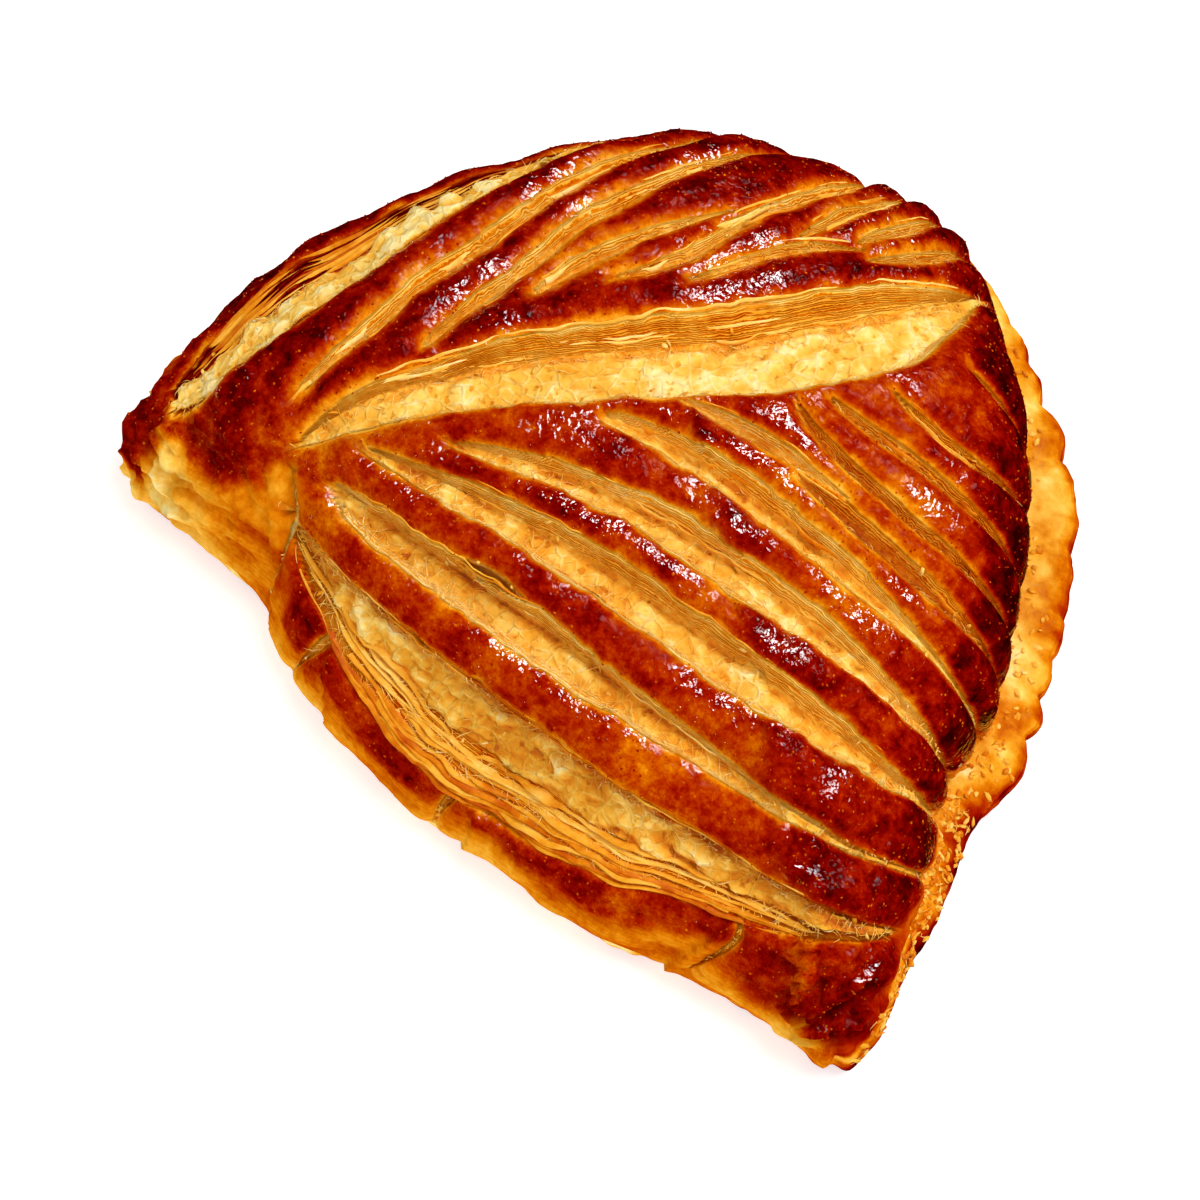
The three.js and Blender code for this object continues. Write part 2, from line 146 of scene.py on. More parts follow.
@dataclasses.dataclass(eq=False)
class Slit:
    """A cut on the flat dough sheet that opened in the oven, in millimetres from the crown."""

    start: tuple
    end: tuple
    bow: float                  # how far the middle line swings to its left
    wide: float
    peak: float                 # where it is widest, as a share of its length
    deep: float
    lean: float = 0.0           # how far the floor lies to the left, as a share of half the width
    floor: float = SLIT_FLOOR
    tail: float = 0.0           # length of the groove beyond its end
    torn: float = 0.15          # how many flakes stand in it
    blunt: float = SLIT_BLUNT
    taper: float = SLIT_TAPER
    settle: float = 1.0         # how soon the swing ends beyond the widest part
    sheets: float = 1.0         # size of the layers that stand out of its walls
    toast: float = 0.0          # how much further its walls have browned
    damp: float = 0.03          # how much browner its floor is
    lumps: float = FLOOR_LUMPS
    made = 0                    # slits so far, which gives each its seed

    def __post_init__(self):
        self.start = np.array(self.start, dtype=float)
        line = np.array(self.end, dtype=float) - self.start
        self.length = float(np.hypot(*line))
        self.along = line / self.length
        self.left = np.array((-self.along[1], self.along[0]))
        self.tip = min(SLIT_END, SLIT_TIP / self.wide)
        self.skew = math.log(0.5) / math.log(self.peak)
        self.deep = self.deep * SLIT_DEEPER
        self.last = 1.0 + self.tail / self.length
        Slit.made += 1
        self.seed = 100 * Slit.made

    def wall(self, side):
        """Width of the left (1) or right (-1) wall where the slit is widest."""
        return self.wide / 2 * (1.0 - self.floor - side * self.lean)

    def layers(self, side):
        """How many dough layers show in a wall."""
        return max(2, round(min(self.wall(side) / LAYER_TREAD, self.deep / LAYER_STEP)))

    def swing(self, t):
        return np.sin(np.pi * np.clip(t, 0.0, 1.0) ** self.skew)

    def opening(self, t):
        """How far the slit has opened, as a share, at a share of its length."""
        power = np.where(np.clip(t, 0.0, 1.0) ** self.skew > 0.5, self.taper, self.blunt)
        return self.tip + (1.0 - self.tip) * np.maximum(self.swing(t), 0.0) ** power

    def bend(self, t):
        """How far the middle line swings to its left."""
        power = np.where(np.clip(t, 0.0, 1.0) ** self.skew > 0.5, self.settle, 1.0)
        return self.bow * np.maximum(self.swing(t), 0.0) ** power

    def place(self, t, across):
        """Sheet places at a share of the length and a distance to the left of the middle line."""
        side = self.bend(t) + across
        return self.start + np.outer(t * self.length, self.along) + np.outer(side, self.left)

    def locate(self, places):
        """The opposite of place."""
        off = places - self.start
        t = off @ self.along / self.length
        return t, off @ self.left - self.bend(t)

    def half(self, t, side):
        """Distance from the middle line to the left (1) or right (-1) lip."""
        run = np.clip(t, 0.0, self.last) * self.length
        stray = noise(run, 5.0, self.seed + 1) + 0.7 * noise(run, 1.7, self.seed + 3)
        other = noise(run, 5.0, self.seed + 2) + 0.7 * noise(run, 1.7, self.seed + 4)
        wander = LIP_WANDER * np.where(side > 0, stray, other)
        opening = self.opening(t)
        return opening * (self.wide / 2 + wander * min(1.0, self.wide / 4))

    def lip(self, t, side):
        """Where one lip is, as a distance to the left of the middle line."""
        return side * self.half(t, side)

    def floor_edge(self, t, side):
        """Where the floor ends on one side, as a distance to the left of the middle line."""
        return (side * self.floor + self.lean) * self.opening(t) * self.wide / 2

    def height(self, opening, fall):
        """Height against the smooth lid at a share of the way down to the floor."""
        return -LIP_DROP - self.deep * opening * fall

    def gap(self, t, across):
        """Distance outside the nearest lip, less than nothing inside the slit."""
        beyond = (t - np.clip(t, 0.0, self.last)) * self.length
        gap = np.abs(across) - self.half(t, np.sign(across))
        return np.where(beyond == 0.0, gap, np.hypot(beyond, np.maximum(gap, 0.0)))


def lattice(cells, seed):
    """A number from 0 to 1 for each whole-numbered cell."""
    mixed = np.full(len(cells), seed * 2654435761 + 12345, dtype=np.uint64)
    for column in cells.T:
        mixed ^= column.astype(np.int64).astype(np.uint64)
        mixed *= np.uint64(0x9E3779B97F4A7C15)
        mixed ^= mixed >> np.uint64(29)
        mixed *= np.uint64(0xBF58476D1CE4E5B9)
        mixed ^= mixed >> np.uint64(32)
    return (mixed >> np.uint64(11)).astype(float) / float(1 << 53)


def noise(places, size, seed):
    """Smooth noise from -1 to 1 with features of a given size, one row of places at a time."""
    scaled = np.asarray(places, dtype=float) / size
    if scaled.ndim == 1:
        scaled = scaled[:, None]
    cells = np.floor(scaled)
    part = scaled - cells
    part = part * part * (3.0 - 2.0 * part)
    total = np.zeros(len(scaled))
    for corner in itertools.product((0, 1), repeat=scaled.shape[1]):
        weight = np.prod(np.where(corner, part, 1.0 - part), axis=1)
        total += weight * lattice(cells + np.array(corner), seed)
    return 2.0 * total - 1.0


def rough(places, size, seed, octaves=3):
    """Noise with finer and fainter features added."""
    total = sum(noise(places, size / 2**k, seed + k) / 2**k for k in range(octaves))
    return total / sum(0.5**k for k in range(octaves))


def smooth_step(low, high, value):
    t = np.clip((value - low) / (high - low), 0.0, 1.0)
    return t * t * (3.0 - 2.0 * t)


def hump(degrees, at, wide):
    """1 where the turn is at an angle, both in degrees, fading to 0 round it."""
    off = np.mod(degrees - at + 180.0, 360.0) - 180.0
    return np.exp(-((off / wide) ** 2))


def paired(first, second):
    """Rows of two numbers from two columns."""
    return np.stack((first, second), axis=1)


def unit_at(angle):
    return paired(np.cos(angle), np.sin(angle))


def sample_outline():
    """The edge by turn: angle from the crown, radius, turn and length so far."""
    turn = np.linspace(0.0, 2.0 * np.pi, OUTLINE_SAMPLES + 1)
    across = np.sin(turn)
    opened = across >= 0
    x = FOLD_MID + FOLD_HALF * np.cos(turn) - np.where(opened, LEAN * across**2, 0.0)
    along = np.clip((x - FOLD_BULGE_X) / FOLD_BULGE_SPAN, -1.0, 1.0)
    swell = FOLD_BULGE * np.cos(np.pi * along / 2.0) ** 2
    blunt = CORNER_DROP * np.clip(-across * CORNER_SPREAD, 0.0, 1.0) ** CORNER_ROUND
    y = FOLD_Y + np.where(opened, DEPTH * across, -swell - blunt)
    point = paired(x, y) - CROWN
    degrees = np.degrees(turn)
    radius = np.hypot(*point.T) + sum(out * hump(degrees, at, wide) for at, wide, out in SWELLS)
    angle = np.maximum.accumulate(np.unwrap(np.arctan2(point[:, 1], point[:, 0])))
    point = unit_at(angle) * radius[:, None]
    length = np.concatenate(((0.0,), np.cumsum(np.hypot(*np.diff(point, axis=0).T))))
    return {"angle": angle, "radius": radius, "turn": turn, "length": length}


class Spokes:
    """What the lid needs to know in each of many directions from the crown."""

    def __init__(self, angle):
        first = OUTLINE["angle"][0]
        wrapped = first + np.mod(angle - first, 2.0 * np.pi)
        self.edge = np.interp(wrapped, OUTLINE["angle"], OUTLINE["radius"])
        turn = np.interp(wrapped, OUTLINE["angle"], OUTLINE["turn"])
        degrees = np.degrees(turn)
        self.degrees = degrees
        self.rim = smooth_step(-0.12, 0.25, np.sin(turn))
        self.corner = hump(degrees, 0.0, CORNER_WIDE) + hump(degrees, 180.0, CORNER_WIDE)
        self.knob = hump(degrees, 0.0, KNOB_WIDE)
        self.unit = unit_at(angle)
        covered = sum(share * hump(degrees, at, wide) for at, wide, share in RIM_COVER)
        self.lid_edge = self.edge - RIM_WIDTH * self.rim * (1.0 - covered)
        self.sheet_edge = self.lid_edge + SHEET_RISE
        self.foot = FOLD_FOOT + (RIM_TOP - FOLD_FOOT) * self.rim + CORNER_LIFT * self.corner
        self.around = 1.0 / np.hypot(self.unit[:, 0] / ROUND_X, self.unit[:, 1] / ROUND_Y)

    def points(self, out, z):
        """Points at distances from the crown and heights."""
        flat = CROWN + self.unit * out[:, None]
        return np.concatenate((flat, z[:, None]), axis=1)

    def plan_radius(self, share):
        return self.around + (self.lid_edge - self.around) * share**ROUND_POWER

    def share_at(self, distance):
        """Share of the dough from crown to edge at a distance along the sheet."""
        share = distance / (self.around + SHEET_RISE)
        for _ in range(SHARE_ROUNDS):
            share = distance / (self.plan_radius(np.minimum(share, 1.0)) + SHEET_RISE)
        return np.minimum(share, 1.0)

    def lid_points(self, share):
        turn = np.pi / 2.0 * share * (SHEET_START + (1.0 - SHEET_START) * share)
        outwards = np.sin(turn) * (1.0 + FULLNESS * np.cos(turn) ** 2)
        fall = np.maximum(np.cos(turn), 0.0) ** WALL_POWER
        return self.points(outwards * self.plan_radius(share), self.foot + (HEIGHT - self.foot) * fall)


OUTLINE = sample_outline()


def spokes_to(places):
    return Spokes(np.arctan2(places[:, 1], places[:, 0]))


def lid_surface(places):
    """Points of the smooth lid under places on the sheet, and the share of the dough to each."""
    line = spokes_to(places)
    share = line.share_at(np.hypot(*places.T))
    return line.lid_points(share), share


def lid_normals(places):
    """Outward directions of the smooth lid at places on the sheet, taken a little inside its edge."""
    reach = spokes_to(places).sheet_edge - 3.0 * NORMAL_REACH
    inner = places * np.minimum(1.0, reach / np.maximum(np.hypot(*places.T), 0.1))[:, None]

    def shifted(du, dv):
        return lid_surface(inner + np.array((du, dv)))[0]

    along = shifted(NORMAL_REACH, 0.0) - shifted(-NORMAL_REACH, 0.0)
    across = shifted(0.0, NORMAL_REACH) - shifted(0.0, -NORMAL_REACH)
    normal = np.cross(along, across)
    return normal / np.linalg.norm(normal, axis=1)[:, None]


# The slits
TAIL = 12.0             # how far a slit runs on as a groove between two strips' ends
UPPER_WALL = -0.13      # the floors lie off the middle, so that the upper wall is the wide one
BROWN_SLIT = 0.2        # how much further the narrow slits by the rim have browned


def strip_slit(start, end, bow, wide, peak, deep, tail=TAIL, **more):
    """A narrow slit between two strips."""
    return Slit(start, end, bow, wide, peak, deep, lean=UPPER_WALL, tail=tail, **more)


MIDRIB = Slit((-35, -35.5), (17, 50), -9, 14, 0.68, 4.2, lean=-0.1, floor=0.68, blunt=0.4, taper=1.6,
              damp=0.0, lumps=0.55)
# Its toast browns its walls and layers further; on the walls behind the separate layers that is partly real
# browning and partly painted shade for the gaps between them
FOLD_FAN = Slit((-34, -45.5), (78, -37), -13.5, 19, 0.42, 4.5, lean=0.28, floor=0.54, blunt=1.2, taper=1.5,
                settle=1.7, sheets=1.4, toast=0.24, damp=0.19)
FAR_FAN = Slit((-63, -44.5), (-37, 34), -0.5, 16.5, 0.28, 1.7, lean=-0.3, floor=0.52, taper=0.9, sheets=0.7,
               toast=0.43)
FOLD_SIDE = [
    strip_slit((-28, -38), (76, -27.5), -2, 6.2, 0.32, 3.4, taper=2.8, damp=0.13),
    strip_slit((-26, -31), (73, -18), 1.5, 6, 0.5, 3.4, taper=1.8, damp=0.08),
    strip_slit((-17, -24), (70, -11.5), 5, 4.8, 0.45, 3.2, taper=2.2, damp=0.03),
    strip_slit((-5, -10.2), (58, -3.5), 2.5, 4, 0.36, 3, taper=2.2),
    strip_slit((1, -2), (24, 2.5), 1, 2, 0.46, 2.2, tail=0.0),
    strip_slit((18, 0.5), (56, 4), -0.5, 2.6, 0.4, 2.6, toast=BROWN_SLIT),
    strip_slit((11.5, 8), (59, 11.5), -3, 1.7, 0.35, 2.2, toast=BROWN_SLIT),
    strip_slit((14, 11.5), (52, 18), -0.8, 1.7, 0.38, 2, toast=BROWN_SLIT),
    strip_slit((18.5, 18.5), (48, 28.5), -3, 1.5, 0.4, 1.8, toast=BROWN_SLIT),
    strip_slit((24, 31), (44, 38), 0, 1.7, 0.5, 1.8, toast=BROWN_SLIT),
]
FAR_SIDE = [
    strip_slit((-38.5, -30), (-29, 55), -1, 3, 0.4, 2.4),
    strip_slit((-28.5, -16), (-20, 52), 0.5, 2.4, 0.38, 2.2),
    strip_slit((-23, -2), (-14, 25), 1, 2.1, 0.38, 2, tail=0.0),
    strip_slit((-17, 6), (-10.5, 31), -1.5, 1.8, 0.4, 1.8, tail=0.0),
    strip_slit((-13, 21.5), (-10, 56), -1.8, 2.4, 0.52, 2),
    strip_slit((-10, 12.5), (1.5, 33), 1.5, 1.8, 0.58, 1.8, tail=0.0),
    strip_slit((-5, 28), (-3, 58), 0, 1.8, 0.4, 1.8),
    strip_slit((0.5, 34), (3, 57), -0.5, 1.8, 0.48, 1.8),
    strip_slit((3.5, 32), (10, 58), -1.5, 1.6, 0.42, 1.8),
]
NECK = Slit((-35, -40), (-36, -60), 2.5, 1.2, 0.4, 0.3, torn=4.0)
TEAR = Slit((-8, -36), (3.5, -33.5), 0.5, 2.4, 0.45, 2.2, torn=1.5)
SPLITS = [
    Slit((-18, -53), (-27, -69), 1.5, 1.6, 0.3, 0.5, torn=2.5, toast=0.22),
    Slit((14, -62), (10, -76), -1.5, 1.4, 0.3, 0.5, torn=2.5, toast=0.22),
    Slit((53, -48), (58, -62), 2.5, 0.9, 0.3, 0.7, torn=1.0, toast=0.25),
]
OPEN_SLITS = [MIDRIB, FOLD_FAN, FAR_FAN, *FOLD_SIDE, *FAR_SIDE]
SLITS = [*OPEN_SLITS, NECK, TEAR, *SPLITS]


def wall_rows(layers):
    """Shares of a wall's width at both ends of each layer's flat part."""
    return [(k + part) / layers for k in range(layers) for part in (0.05, TREAD)] + [1.0]


def slit_places(slit):
    """Places for points in rows along a slit: beside its lips, on its walls and on its floor."""
    t = np.linspace(0.0, slit.last, round(slit.last * slit.length / STATION) + 1)
    rows = []
    for side in (1.0, -1.0):
        lip = slit.lip(t, side)
        edge = slit.floor_edge(t, side)
        rows.extend(lip + side * off for off in LIP_ROWS)
        rows.extend(lip + (edge - lip) * row for row in wall_rows(slit.layers(side)))
    left, right = slit.floor_edge(t, 1.0), slit.floor_edge(t, -1.0)
    steps = round(float(np.max(left - right)) / FLOOR_STEP)
    rows.extend(right + (left - right) * k / steps for k in range(1, steps))
    return np.concatenate([slit.place(t, row) for row in rows])


def gaps(places):
    """Distance of each place outside the nearest lip."""
    return np.min([slit.gap(*slit.locate(places)) for slit in SLITS], axis=0)


def thinned(places):
    """The places, less those that share a small cell with an earlier one."""
    cells = np.floor(places / CLOSEST).astype(np.int64)
    first = np.unique(cells, axis=0, return_index=True)[1]
    return places[np.sort(first)]


def lid_places():
    """Sheet places of the lid's points: its edge loop first, then slits and strips."""
    total = OUTLINE["length"][-1]
    length = total * np.arange(LOOP_POINTS) / LOOP_POINTS
    angle = np.interp(length, OUTLINE["length"], OUTLINE["angle"])
    reach = Spokes(angle).sheet_edge
    unit = unit_at(angle)
    loop = unit * reach[:, None]
    inner = [unit * (reach - off)[:, None] for off in EDGE_ROWS]
    rows = []
    for slit in SLITS:
        places = slit_places(slit)
        own = slit.gap(*slit.locate(places))
        rows.append(places[own <= gaps(places) + ROW_OVERLAP])
    span = float(np.max(reach)) + FILL_STEP
    steps = np.arange(-span, span, FILL_STEP)
    u, v = np.meshgrid(steps, steps * math.sqrt(0.75))
    u = u + FILL_STEP / 2 * (np.arange(len(steps)) % 2)[:, None]
    fill = paired(u.ravel(), v.ravel())
    cells = np.floor(fill / JITTER_CELL)
    jitter = paired(lattice(cells, 5), lattice(cells, 6))
    fill = fill + (jitter - 0.5) * FILL_STEP * FILL_JITTER
    fill = fill[gaps(fill) > LIP_ROWS[-1] + FILL_GAP]
    others = thinned(np.concatenate(rows + inner + [fill]))
    room = spokes_to(others).sheet_edge - np.hypot(*others.T)
    return np.concatenate((loop, others[room > EDGE_ROOM]))


def slit_relief(slit, places, looks):
    """Lowers the places inside one slit and notes how they look."""
    t, across = slit.locate(places)
    gap = slit.gap(t, across)
    looks["gap"] = np.minimum(looks["gap"], gap)
    inside = np.flatnonzero(gap < 0.0)
    t, across = t[inside], across[inside]
    opening = slit.opening(t)
    side = np.where(across > slit.lean * opening * slit.wide / 2, 1.0, -1.0)
    lip = slit.lip(t, side)
    wall = slit.floor_edge(t, side) - lip
    down = np.clip((across - lip) / np.where(np.abs(wall) > 0.01, wall, 0.01 * -side), 0.0, 1.0)
    layers = np.where(side > 0, slit.layers(1.0), slit.layers(-1.0))
    step = np.minimum(np.floor(down * layers), layers - 1)
    part = down * layers - step
    riser = np.clip((part - TREAD) / (1.0 - TREAD), 0.0, 1.0)
    fall = (step + TREAD_FALL * np.minimum(part / TREAD, 1.0) + (1.0 - TREAD_FALL) * riser) / layers
    floor = smooth_step(0.97, 1.0, down)
    lumps = np.abs(rough(places[inside], 4.2, 31, 2)) * min(1.0, slit.wide / 9)
    lumps = slit.lumps * (2.2 * lumps + np.abs(rough(places[inside], 1.7, 35))) * floor
    foot = slit.floor_edge(t, 1.0) - across
    groove = UNDERCUT * floor * opening * np.exp(-((foot / UNDERCUT_WIDE - 0.8) ** 2))
    height = slit.height(opening, fall) + lumps - groove
    run = paired(t * slit.length, step * LAYERS_APART + side * WALLS_APART)
    stray = LAYER_STRAY * rough(run, 2.4, slit.seed + 7, 2) * smooth_step(0.3, TREAD, part) * (1.0 - riser)
    stray = np.clip(stray, -0.6, 0.6) * (1.0 - floor) * np.minimum(1.0, opening * 1.5)
    rooted = slit.wide > ROOTS_FROM
    roots = floor * np.exp(-((foot / ROOTS_REACH) ** 2)) * rooted
    found = {
        "height": height,
        "shift": (-side * stray)[:, None] * slit.left,
        "down": down,
        "floor": floor,
        "layer": down * layers,
        "torn": np.full(len(t), slit.torn),
        "toast": slit.toast * (1.0 - floor * rooted) + slit.damp * floor + TIP_TOAST * (1.0 - opening) ** 2,
        # painted shade: the floor's low places and the groove at the upper wall's foot are coloured darker,
        # over an even browning of the whole floor
        "hollow_shade": floor * (0.45 - lumps + groove),
        "near": side < 0,
        "threads": 0.08 * floor + (side < 0) * (1.0 - floor) * (down > 0.1) + roots,
    }
    lower = height < looks["height"][inside]
    for key, values in found.items():
        looks[key][inside[lower]] = values[lower]


SEGMENT_ENDS = (-0.03, 0.14, 0.43, 0.78, 1.1)  # along the fold's wide slit, as shares of its length
SEGMENT_LIFT = 0.8                             # how far each segment of the fold laps over the next
EARS = ((203.0, 24.0), (350.0, 16.0))          # turns in degrees where the dough is gathered, and spread
ENDS_AT = 45.0                                 # turn where the strips' ends are fullest, and spread
ENDS_WIDE = 40.0
NECK_STEP = 1.3                                # how much lower the dough beyond the neck lies
NECK_REACH = 12.0                              # distance over which that fades


def fold_segments(places):
    """Height of the lapping segments of the strip along the fold."""
    t, across = FOLD_FAN.locate(places)
    outer = smooth_step(0.0, 1.5, FOLD_FAN.lip(t, -1.0) - across)
    which = np.clip(np.searchsorted(SEGMENT_ENDS, t) - 1, 0, len(SEGMENT_ENDS) - 2)
    ends = np.array(SEGMENT_ENDS)
    part = (t - ends[which]) / (ends[which + 1] - ends[which])
    inside = (t > SEGMENT_ENDS[0]) & (t < SEGMENT_ENDS[-1])
    return SEGMENT_LIFT * outer * (1.0 - 1.4 * part) * inside


def neck_step(places):
    """How much lower the dough lies beyond the groove at the left corner's neck."""
    t, across = NECK.locate(places)
    ends = smooth_step(-0.25, 0.1, t) * smooth_step(1.25, 0.9, t)
    beyond = smooth_step(0.6, -0.9, across) * np.exp(-((np.minimum(across, 0.0) / NECK_REACH) ** 2))
    return NECK_STEP * ends * beyond


def lid_relief(places):
    """What the oven made of each place on the sheet: height, sideways shift and looks."""
    count = len(places)
    keys = ("height", "down", "floor", "layer", "torn", "toast", "hollow_shade", "near", "threads")
    looks = {key: np.zeros(count) for key in keys}
    looks["shift"] = np.zeros((count, 2))
    looks["gap"] = np.full(count, 100.0)
    for slit in SLITS:
        slit_relief(slit, places, looks)
    out = np.maximum(looks["gap"], 0.0)
    line = spokes_to(places)
    room = line.sheet_edge - np.hypot(*places.T)
    far = smooth_step(-3.0, 8.0, MIDRIB.locate(places)[1])
    full = 1.0 + 0.3 * far * smooth_step(4.0, 16.0, room)
    full += 0.6 * hump(line.degrees, ENDS_AT, ENDS_WIDE) * smooth_step(26.0, 8.0, room)
    reach = PUFF_REACH * (1.0 + 0.9 * far)
    crest = PUFF * full * (1.0 - np.exp(-out / reach)) - LIP_DROP
    ear = sum(hump(line.degrees, at, wide) for at, wide in EARS)
    flank = smooth_step(14.0 + 10.0 * ear, 8.0 + 8.0 * ear, room) * (1.0 - line.rim)
    grain = paired(line.degrees * 0.7, room * 2.6)
    grain += 2.0 * paired(noise(places, 9.0, 58), noise(places, 9.0, 59))
    wrinkle = FLANK_WRINKLE * (1.0 + ear) * flank * rough(grain, 6.0, 57, 2)
    wrinkle += EAR_WRINKLE * ear * flank * (0.3 - np.abs(rough(grain, 7.0, 48, 2)))
    wrinkle += EAR_FOLDS * np.minimum(ear, 1.0) * (0.4 - np.abs(rough(grain, 15.0, 56, 2)))
    crest += wrinkle
    outside = looks["gap"] > 0.0
    # painted shade: the hollows of the wrinkles outside the slits are coloured darker
    looks["hollow_shade"] = np.where(outside, -wrinkle * (1.0 - 0.7 * np.minimum(ear, 1.0)), looks["hollow_shade"])
    looks["lines"] = np.where(outside, 0.12 * flank, 1.0 - looks["floor"])
    looks["layer"] = np.where(outside, room / 2.0, looks["layer"])
    crinkle = CRINKLE * (1.0 - 2.0 * np.abs(rough(places, 3.2, 41))) * smooth_step(0.3, 1.5, out)
    looks["height"] = np.where(outside, crest + crinkle * (0.6 + 0.9 * far), looks["height"])
    lumps = CORNER_LUMPS * line.corner * rough(places, 7.0, 54)
    lumps += KNOB_LUMPS * line.knob * (0.5 - np.abs(rough(places, 5.0, 55, 2)))
    patch = np.minimum(ear, 1.0) * smooth_step(34.0, 24.0, room) * smooth_step(0.0, 5.0, room) * outside
    ridge = 0.25 - np.abs(rough(places + 4.0 * noise(places, 9.0, 52)[:, None], 3.4, 53, 2))
    lumps += CORNER_RIDGES * patch * ridge * (1.0 + hump(line.degrees, *EARS[1]))
    looks["ridge"] = patch * smooth_step(0.12, 0.24, ridge)
    sway = SWAY * (1.0 + far) * rough(places, 11.0, 51, 2)
    looks["height"] = looks["height"] + sway + fold_segments(places) + lumps - neck_step(places)
    looks.update(room=room, far=far, ear=ear)
    return looks


# Egg wash in millimetres: its end on the fold's flank, and washed and bare spots with their widths
WASH_END = 5.0
WASH_END_EAR = 15.0
WASH_END_WIDE = 6.0     # how much further up it ends on the fold's right half
WASH_WIDE_AT = 318.0    # turn in degrees of that part, and spread
WASH_WIDE = 13.0
WASHED_SPOTS = (((-46.0, -40.0), 8.5), ((-67.0, -50.0), 8.5), ((67.0, -45.0), 12.0), ((78.0, -52.0), 4.0))
BARE_SPOTS = (((-53.0, -61.0), 13.0), ((-39.0, -55.0), 10.0), ((-35.0, -43.0), 4.0))
PALE_FLANK_AT = 213.0   # turn in degrees where the fold's flank is palest, and spread
PALE_FLANK_WIDE = 14.0
PALE_STRIPS_AT = (32.0, 6.0)  # where the strips are palest, in millimetres on the sheet, and spread
PALE_STRIPS_WIDE = 17.0


def off_spot(places, spot, wide):
    """Distance from a spot as a share of its width."""
    return np.hypot(*(places - np.array(spot)).T) / wide


def lid_bake(places, share, looks):
    """How far the lid has browned and where the egg wash covers it."""
    line = spokes_to(places)
    room, far, ear = looks["room"], looks["far"], looks["ear"]
    outside = looks["gap"] > 0.0
    washed = smooth_step(0.0, 0.3, looks["gap"] + 0.2 * rough(places, 1.6, 61))
    end = WASH_END + WASH_END_EAR * ear + WASH_END_WIDE * hump(line.degrees, WASH_WIDE_AT, WASH_WIDE)
    patchy = rough(places, 8.0, 62, 4)
    fold_limit = smooth_step(-1.5, 2.5, room - end + 3.0 * patchy)
    for spot, wide in WASHED_SPOTS:
        wet = smooth_step(1.15, 0.8, off_spot(places, spot, wide) + 0.25 * patchy)
        fold_limit = np.maximum(fold_limit, wet)
    for spot, wide in BARE_SPOTS:
        fold_limit *= smooth_step(0.75, 1.2, off_spot(places, spot, wide) + 0.25 * patchy)
    rim_limit = smooth_step(0.985, 0.95, share + 0.01 * rough(places, 5.0, 63))
    washed *= (fold_limit + (rim_limit - fold_limit) * line.rim)
    crest = smooth_step(0.0, 1.0, (looks["gap"] + 0.2 * rough(places, 2.5, 68)) / (0.9 + 1.4 * far))
    burnt = line.rim * smooth_step(0.55, 0.95, share) * (0.8 + 0.5 * rough(places, 8.0, 64))
    ends = hump(line.degrees, ENDS_AT, ENDS_WIDE) * smooth_step(30.0, 9.0, room + 6.0 * patchy) * crest
    toast = 0.38 + 0.04 * far + 0.17 * rough(places, 14.0, 65) + 0.13 * rough(places, 4.5, 66) + 0.27 * crest
    toast = toast + 0.36 * burnt * (1.0 - 0.8 * line.corner) + 0.15 * far * crest + 0.26 * ends
    toast = toast + 0.15 * line.knob - 0.1 * hump(line.degrees, *EARS[0])
    toast -= 0.12 * looks["ridge"]
    toast -= 0.1 * np.exp(-(off_spot(places, PALE_STRIPS_AT, PALE_STRIPS_WIDE) ** 2))
    toast = np.minimum(toast, 0.84 + 0.1 * rough(places, 5.0, 60) + 0.08 * ends)
    strip = smooth_step(22.0, 12.0, room) * (1.0 - line.rim) * (1.0 - line.corner)
    toast = toast + 0.01 * strip + 0.008 * strip * (room - 8.0)
    wall = smooth_step(0.02, 0.2, looks["down"]) * (1.0 - looks["floor"])
    # The upper walls are a little browner and the lower ones paler: painted shade on the walls that face
    # away from the lamps, painted light on those that face them
    golden = 0.27 + 0.1 * rough(places, 6.0, 67) + wall * (0.05 - 0.13 * looks["near"] + 0.08 * far)
    golden += 0.14 * wall * (0.5 - looks["down"]) * (1.0 - looks["near"])
    # Painted shade darkens the hollows and grooves; the floors are then made paler and the slit's own
    # browning added
    golden = golden + 0.2 * looks["hollow_shade"] - 0.11 * looks["floor"] + looks["toast"]
    golden -= 0.12 * np.exp(-(((looks["gap"] + 0.25) / 0.35) ** 2))
    golden += outside * (1.0 - ear) * (0.11 + 0.16 * smooth_step(-4.0, 14.0, room))
    golden += ear * 0.08 * smooth_step(5.0, 16.0, room) * outside
    golden -= 0.12 * hump(line.degrees, PALE_FLANK_AT, PALE_FLANK_WIDE) * smooth_step(22.0, 8.0, room)
    golden += 0.36 * line.knob * outside
    golden += 0.2 * ear * rough(places, 7.0, 69, 3) * outside
    golden -= 0.1 * looks["ridge"]
    return washed, toast * washed + golden * (1.0 - washed)


# Rows on the rim: shares of its width and of the rise to its lip, and height added
RIM_TOP_ROWS = ((0.1, 0.0, 0.0), (0.25, 0.0, 0.5), (0.42, 0.35, 0.8), (0.6, 0.6, 0.7), (0.78, 0.85, 0.5))
RIM_LIP_AT = 0.92
# Rows on its outer side: distance beyond the edge and share of the lip's height
RIM_SIDE_ROWS = ((0.0, 0.8), (0.2, 0.6), (-0.1, 0.42),
                 (-0.3 * BASE_ROUND, 0.25), (-0.62 * BASE_ROUND, 0.09), (-BASE_ROUND, 0.0))


